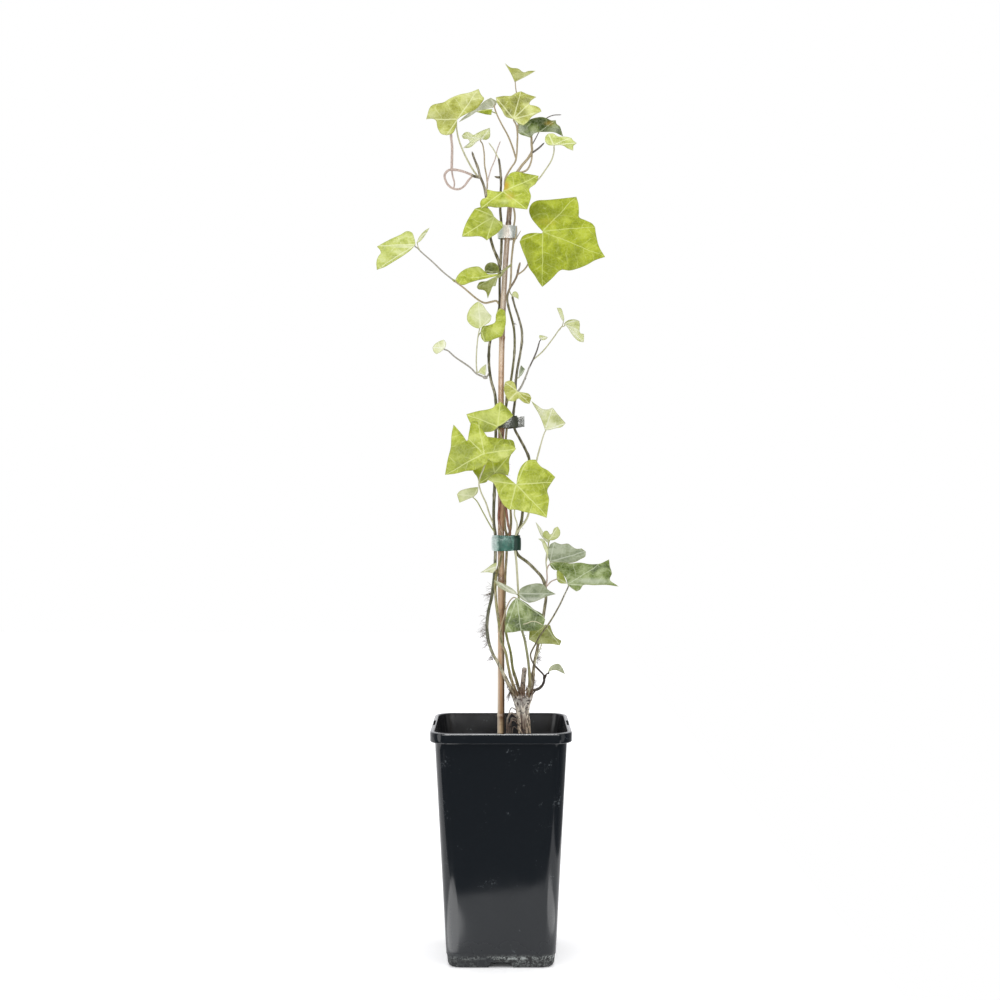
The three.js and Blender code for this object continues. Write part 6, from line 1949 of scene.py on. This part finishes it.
@dataclass
class Stem:
    """One stem with its side shoots, leaf stalks, buds and aerial roots."""

    node: str
    shoots: tuple[Shoot, ...]
    hairs: tuple[Hairs, ...]
    finish: BarkFinish
    slim: float = 0.86
    thick_from: float = 1.3
    knotty_from: float = 1.1
    knot_spacing: float = 41
    knot_length: float = 1.6
    swollen_length: float = 28
    detail: int = 4

    def girth(self, path: list[Vector], shoot: Shoot, seed: float) -> list[float]:
        """Thickness along a shoot: uneven, swollen at its nodes and finer at its end.

        Args:
            path: the shoot's path, in metres.
            shoot: the shoot.
            seed: tells one shoot's unevenness from another's.

        Returns:
            The radius at each point, in millimetres.
        """
        lengths = [0.0]
        for a, b in zip(path, path[1:]):
            lengths.append(lengths[-1] + (b - a).length / MM)
        total = max(lengths[-1], 0.1)
        knotty, heavy = shoot.radius >= self.knotty_from, shoot.radius >= self.thick_from
        thick = []
        for along in lengths:
            uneven = 1 + 0.09 * noise.noise(Vector((along * 0.16, seed, 0.3)))
            phase = (along + seed * 7) % self.knot_spacing
            knot = 0.2 * math.exp(-(((phase - 20) / self.knot_length) ** 2)) if knotty else 0.0
            taper = 1 - (1 - shoot.end) * (along / total) ** 2
            radius = shoot.radius * (self.slim if heavy else 1.0)
            swollen = 0.4 * max(0.0, 1 - along / self.swollen_length) if shoot.foot and heavy else 0.0
            thick.append(radius * (uneven + knot + swollen) * taper)
        if not shoot.leaf:
            thick[-1] *= 0.55
        return thick

    def build(self, job: Job, hair: Material) -> None:
        """Models the stem and puts it in place of its node.

        Args:
            job: what it delivers to.
            hair: the root hairs' material.
        """
        parts = []
        finish = self.finish.material()
        for skin in Bark:
            runs = []
            for i, shoot in enumerate(self.shoots):
                if shoot.skin() is not skin:
                    continue
                path = smooth_path(shoot.points(), TUBE_STEP * MM)
                girth = self.girth(path, shoot, i * 3.7)
                if not shoot.leaf:
                    way = (path[-1] - path[-2]).normalized()
                    path.append(path[-1] + way * shoot.radius * 0.45 * MM)
                    girth.append(shoot.radius * 0.2)
                runs.append((path, girth))
            if not runs:
                continue
            part = tubes(f"{self.node}_{skin.name.lower()}", runs, 1.0, self.detail)
            mark_all(part, skin=skin.value)
            part.data.materials.clear()
            part.data.materials.append(finish)
            smooth_shade(part, 50)
            parts.append(part)
        runs = [run for tuft in self.hairs for run in self.tuft(tuft)]
        if runs:
            part = tubes(f"{self.node}_hairs", runs, 1.0, 0)
            mark_all(part, skin=0.0)
            part.data.materials.clear()
            part.data.materials.append(hair)
            parts.append(part)
        job.deliver(join_pieces(f"{self.node}_bark", parts), self.node)

    def tuft(self, tuft: Hairs) -> list[Run]:
        """Paths of the short roots round one place.

        Args:
            tuft: the tuft.

        Returns:
            The paths with their thickness.
        """
        runs = []
        for i in range(tuft.count):
            key = Vector((tuft.at[1] * 0.37 + i * 1.71, tuft.at[0] + i * 0.63, i * 2.9))
            off = noise.noise_vector(key) * tuft.spread
            start = seen((tuft.at[0], tuft.at[1] + off.z * 1.4, tuft.at[2] + off.y * 0.12))
            bend = noise.noise_vector(key * 1.9)
            way = Vector((tuft.way[0], bend.y * 1.6, tuft.way[1] + bend.z * 2.0)).normalized()
            long = tuft.length * (0.45 + 0.75 * abs(noise.noise(key * 0.77)))
            path = []
            for step in range(5):
                share = step / 4
                droop = Vector((bend.x, bend.z, -0.5 + bend.y)) * share * share * long * 0.8
                path.append(start + (way * long * share + droop) * MM)
            runs.append((path, [tuft.radius * t for t in (1.3, 1.1, 1.0, 0.8, 0.45)]))
        return runs


@dataclass
class LeafMaker:
    """Makes the blades: each a smooth lobed sheet with a relief between its veins."""

    puff: float = 0.42
    wave: float = 0.7
    curl: float = 0.35
    flat_rim: float = 3.0
    flat_base: float = 14.0
    ring_width: float = 2.0
    outer_spread: float = 1.2
    least_angle: float = math.radians(14)
    finishes: dict[Look, Material] = field(default_factory=dict)

    def finish(self, look: Look) -> Material:
        """The material of a look, made once.

        Args:
            look: the look.

        Returns:
            Its material.
        """
        if look not in self.finishes:
            self.finishes[look] = LEAF_FINISHES[look].material()
        return self.finishes[look]

    def rays(self, name: str, blade: Blade) -> list[float]:
        """Directions of the main veins, measured from the midrib.

        Args:
            name: the blade's node.
            blade: the blade.

        Returns:
            Angles in rising order.
        """
        start = VEIN_STARTS.get(name, blade.stalk)
        ends = VEIN_ENDS.get(name) or [spot[:2] for spot in blade.edge if len(spot) > 2]
        rib = math.atan2(blade.middle[1] - start[1], blade.middle[0] - start[0])
        angles = sorted(
            (math.atan2(z - start[1], x - start[0]) - rib + math.pi) % (2 * math.pi) - math.pi
            for x, z in ends
        )
        kept: list[float] = []
        for angle in angles:
            if not kept or angle - kept[-1] > self.least_angle:
                kept.append(angle)
        return kept

    def vein_place(
        self, name: str, blade: Blade, rays: list[float], x: float, z: float
    ) -> tuple[float, float, float]:
        """Where a spot lies among the veins.

        Args:
            name: the blade's node.
            blade: the blade.
            rays: the main veins' directions.
            x: the spot, in millimetres.
            z: the spot, in millimetres.

        Returns:
            The count of the main vein with its fraction, the reach and the gap in millimetres.
        """
        start = VEIN_STARTS.get(name, blade.stalk)
        rib = math.atan2(blade.middle[1] - start[1], blade.middle[0] - start[0])
        reach = math.hypot(x - start[0], z - start[1])
        angle = (math.atan2(z - start[1], x - start[0]) - rib + math.pi) % (2 * math.pi) - math.pi
        if angle <= rays[0]:
            single = max(0.8, 2.1 * (rays[0] + math.pi))
            spread = single if len(rays) < 2 else self.outer_spread
            return -min(0.49, (rays[0] - angle) / spread), reach, spread * reach
        for i, (low, high) in enumerate(zip(rays, rays[1:])):
            if angle <= high:
                return i + (angle - low) / (high - low), reach, (high - low) * reach
        spread = self.outer_spread
        return len(rays) - 1 + min(0.49, (angle - rays[-1]) / spread), reach, spread * reach

    def build(self, job: Job, name: str, blade: Blade) -> None:
        """Models one blade and puts it in place of its node.

        Args:
            job: what it delivers to.
            name: the blade's node.
            blade: the blade.
        """
        line = blade.outline()
        sheet = ring_start(f"{name}_blade", [(x, 0.0, z) for x, z in line])
        size = sum(math.hypot(x - blade.middle[0], z - blade.middle[1]) for x, z in line) / len(line)
        rings = max(4, min(12, round(size / self.ring_width)))
        middle = (blade.middle[0] * MM, 0.0, blade.middle[1] * MM)
        share = 1.0
        with editing(sheet):
            for i in range(1, rings):
                new = 1.0 - (i / rings) ** 0.9
                bpy.ops.mesh.extrude_edges_move(TRANSFORM_OT_translate={"value": (0.0, 0.0, 0.0)})
                bpy.ops.transform.resize(value=(new / share,) * 3, center_override=middle)
                share = new
            bpy.ops.mesh.extrude_edges_move(TRANSFORM_OT_translate={"value": (0.0, 0.0, 0.0)})
            bpy.ops.mesh.merge(type="COLLAPSE")
        self.shape(name, blade, sheet, line)
        self.turn_to_viewer(sheet)
        front = self.finish(blade.look)
        back = self.finish(Look.DEEP if blade.look in UNDERSIDES else Look.GREY)
        sheet.data.materials.append(front)
        sheet.data.materials.append(back)
        finish_with(sheet, "SOLIDIFY", thickness=BLADE_THICKNESS * MM, offset=0.0, material_offset=1)
        smooth_shade(sheet, 60)
        job.deliver(sheet, name)

    def shape(self, name: str, blade: Blade, sheet: Piece, line: list[tuple[float, float]]) -> None:
        """Lays a flat sheet in its place and gives it its relief and its values.

        Args:
            name: the blade's node.
            blade: the blade.
            sheet: the flat sheet.
            line: the blade's edge.
        """
        rays = self.rays(name, blade)
        values: dict[str, list[float]] = {key: [] for key in BLADE_VALUES}
        lift_sign = -1 if blade.look in UNDERSIDES else 1
        seed = int(name[-2:]) * 3.1
        marks = [Mark.read(text) for text in MARKS[name].split(",")] if name in MARKS else []
        for vertex in sheet.data.vertices:
            x, z = vertex.co.x / MM, vertex.co.z / MM
            fan, reach, gap = self.vein_place(name, blade, rays, x, z)
            rim = min(math.hypot(x - a, z - b) for a, b in line)
            off = abs(fan - round(fan)) * gap
            inner = min(1.0, rim / self.flat_rim)
            far = min(1.0, reach / self.flat_base)
            relief = self.puff * (1 - math.exp(-((off / 2.0) ** 2))) * inner * far * lift_sign
            waves = noise.noise(Vector((x * 0.05, z * 0.05, seed))) * self.wave * far
            curl = self.curl * math.exp(-rim / 1.2) * far
            spot = blade.point(x, z) + blade.away(x, z) * (waves + curl - relief) * MM
            vertex.co = spot
            for key, value in zip(("fan", "reach", "gap", "rim"), (fan, reach, gap, rim)):
                values[key].append(value)
            for tone in Tone:
                amounts = (mark.amount(x, z) for mark in marks if mark.tone is tone)
                values[tone.value].append(min(1.0, sum(amounts)))
        for key, numbers in values.items():
            sheet.data.attributes.new(key, "FLOAT", "POINT").data.foreach_set("value", numbers)
        sheet.data.update()

    def turn_to_viewer(self, sheet: Piece) -> None:
        """Makes the sheet's faces look at the viewer.

        Args:
            sheet: the sheet.
        """
        with editing(sheet):
            face_outwards()
        if sum(face.normal.y * face.area for face in sheet.data.polygons) > 0:
            with editing(sheet):
                bpy.ops.mesh.flip_normals()


@dataclass
class Studio:
    """Floor, soft light and camera."""

    finish: FloorFinish = field(default_factory=FloorFinish)
    floor_front: float = -0.222
    floor_slant: float = -0.3
    floor_back: float = 3.0
    floor_sides: tuple[float, float] = (-3.0, 0.32)
    bright: float = 0.93
    behind: float = 1.3
    before: float = 0.06
    right_share: float = 0.25
    top: tuple[Place, Place, tuple[float, float], float] = (
        (0.0, -0.35, 1.75), (0.0, 0.0, 0.35), (1.4, 1.0), 4.5,
    )
    mirrored: tuple[tuple[str, Place, Place, tuple[float, float], float], ...] = (
        ("gleam_left", (-0.85, -0.52, 0.42), (0.0, 0.0, 0.42), (0.42, 1.0), 2.5),
        ("gleam_right", (0.85, -0.52, 0.42), (0.0, 0.0, 0.42), (0.42, 1.0), 0.9),
        ("gleam_low_left", (-0.1165, -0.112, 0.004), (-0.1165, -0.112, 1.0), (0.155, 0.2), 0.25),
        ("gleam_low_right", (0.14, -0.11, 0.004), (0.14, -0.11, 1.0), (0.1, 0.2), 0.15),
        ("gleam_rim", (0.0, -1.0, 0.66), (0.0, 0.0, 0.2), (1.6, 0.16), 20.0),
    )

    def build(self) -> None:
        """Sets the floor, the lights and the camera."""
        self.floor()
        self.soft_box("light_top", *self.top)
        for name, place, aim, size, power in self.mirrored:
            light = self.soft_box(name, place, aim, size, power)
            light.visible_diffuse = False
            light.visible_camera = False
        self.sky()
        self.camera()
        bpy.context.scene.view_settings.view_transform = "Standard"

    def floor(self) -> None:
        """Lays a pale board whose front edge runs just before the pot, a little aslant."""
        bpy.ops.object.select_all(action="DESELECT")
        bpy.ops.mesh.primitive_plane_add(size=1)
        board = bpy.context.object
        board.name = "studio_floor"
        for vertex in board.data.vertices:
            x = self.floor_sides[vertex.co.x > 0]
            front = self.floor_front + self.floor_slant * x
            vertex.co = (x, self.floor_back if vertex.co.y > 0 else front, 0.0)
        with editing(board):
            bpy.ops.mesh.subdivide(number_cuts=4)
            bpy.ops.mesh.extrude_region_move(TRANSFORM_OT_translate={"value": (0.0, 0.0, -0.02)})
            face_outwards()
        board.data.materials.append(self.finish.material())

    def soft_box(
        self,
        name: str,
        place: tuple[float, float, float],
        aim: tuple[float, float, float],
        size: tuple[float, float],
        power: float,
    ) -> Piece:
        """Hangs one soft light.

        Args:
            name: the light's name.
            place: where it hangs, in metres.
            aim: where it points.
            size: its width and height.
            power: its power in watts.

        Returns:
            The light.
        """
        lamp = bpy.data.lights.new(name, "AREA")
        lamp.shape = "ELLIPSE"
        lamp.size, lamp.size_y = size
        lamp.energy = power
        light = bpy.data.objects.new(name, lamp)
        light.location = place
        way = Vector(aim) - Vector(place)
        light.rotation_euler = way.to_track_quat("-Z", "Y").to_euler()
        bpy.context.collection.objects.link(light)
        return light

    def sky(self) -> None:
        """Surrounds the scene with white: bright behind the plant, dark where a gloss mirrors the room."""
        world = bpy.data.worlds.new("studio_white")
        world.use_nodes = True
        tree = world.node_tree
        tree.nodes.clear()
        add = partial(add_node, tree)
        sides, depth = (add("SeparateXYZ", add("TexCoord", out="Generated"), out=axis) for axis in "XY")
        mirrored = add("MapRange", depth, -0.1, 0.5, self.before, self.behind)
        shaded = add("MapRange", sides, 0.2, 0.7, 1.0, self.right_share)
        mirrored = add("Math:MULTIPLY", mirrored, shaded)
        soft = add("Background", linear("#fcfcff"), self.bright)
        glossy = add("Background", linear("#fcfcff"), mirrored)
        white = add("Background", linear("#ffffff"), 1.0)
        lit = add("MixShader", add("LightPath", out="Is Glossy Ray"), soft, glossy)
        shown = add("MixShader", add("LightPath", out="Is Camera Ray"), lit, white)
        add("OutputWorld", shown)
        bpy.context.scene.world = world

    def camera(self) -> None:
        """Sets the camera level, at the eye's height, looking straight at the plant."""
        lens = bpy.data.cameras.new("front_camera")
        lens.sensor_width = SENSOR_WIDTH
        lens.lens = FOCAL_PIXELS / PICTURE_SIZE * SENSOR_WIDTH
        lens.shift_x = (PICTURE_SIZE / 2 - POT_MIDDLE_PIXEL) / PICTURE_SIZE
        lens.clip_start = 0.1
        eye = bpy.data.objects.new("front_camera", lens)
        eye.location = (0.0, -EYE_DISTANCE * MM, EYE_HEIGHT * MM)
        eye.rotation_euler = (math.pi / 2, 0.0, 0.0)
        bpy.context.collection.objects.link(eye)
        bpy.context.scene.camera = eye


# Each tape's stops run across it from left to right, in millimetres, and hold painted light: painted
# highlight on the left and in bands, painted shade on the right.
TIES = (
    Tie(
        "tie_low",
        TapeFinish(
            "pvc_tape_green",
            (
                (-9, "#e2ece8"), (-5, "#b4c8c0"), (-3.2, "#8fb0a4"), (-1.6, "#1d5a4b"), (4, "#2d7866"),
                (8.8, "#1f5f4e"), (10.4, "#5f9484"), (11.6, "#134033"), (17, "#0f3529"),
            ),
        ),
        4.3, 12.6, 8.8, 350.8, 364.0, 0.25,
    ),
    Tie(
        "tie_mid",
        TapeFinish("pvc_tape_olive", ((-9, "#50563c"), (4, "#4c5040"), (16, "#454838"), (24, "#2f3524"))),
        3.4, 10.9, 7.9, 458.0, 468.6, 0.3, (17.2, 463.3, 6.6, 9.6),
    ),
    Tie(
        "tie_top",
        TapeFinish(
            "pvc_tape_clear",
            (
                (-4, "#eef0ec"), (0, "#cfd6d2"), (3, "#ece6da"), (6, "#e0d2c0"), (8, "#f4f4f0"),
                (11, "#b9c0bb"), (15, "#d5d9d4"),
            ),
            stain="#8f9890", stain_amount=0.5,
        ),
        5.5, 8.4, 6.2, 623.6, 634.8, 0.3,
    ),
)


def main() -> None:
    """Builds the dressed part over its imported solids."""
    logging.basicConfig(level=logging.INFO, format="%(message)s")
    noise.seed_set(NOISE_SEED)
    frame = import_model()
    job = Job({row["node"]: row["material_slot"] for row in frame["record"]["subparts"]})
    pot = Pot()
    pot.build(job)
    Compost().build(job, pot)
    Cane().build(job)
    RootCollar().build(job)
    for tie in TIES:
        tie.build(job)
    hair = HairFinish().material()
    for node, shoots in STEMS.items():
        Stem(node, shoots, HAIRS.get(node, ()), BARKS[node]).build(job, hair)
    leaf_maker = LeafMaker()
    for node, blade in LEAVES.items():
        leaf_maker.build(job, node, blade)
    Studio().build()
    LOG.info("%d pieces", len(job.delivered))
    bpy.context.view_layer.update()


if __name__ == "__main__":
    main()
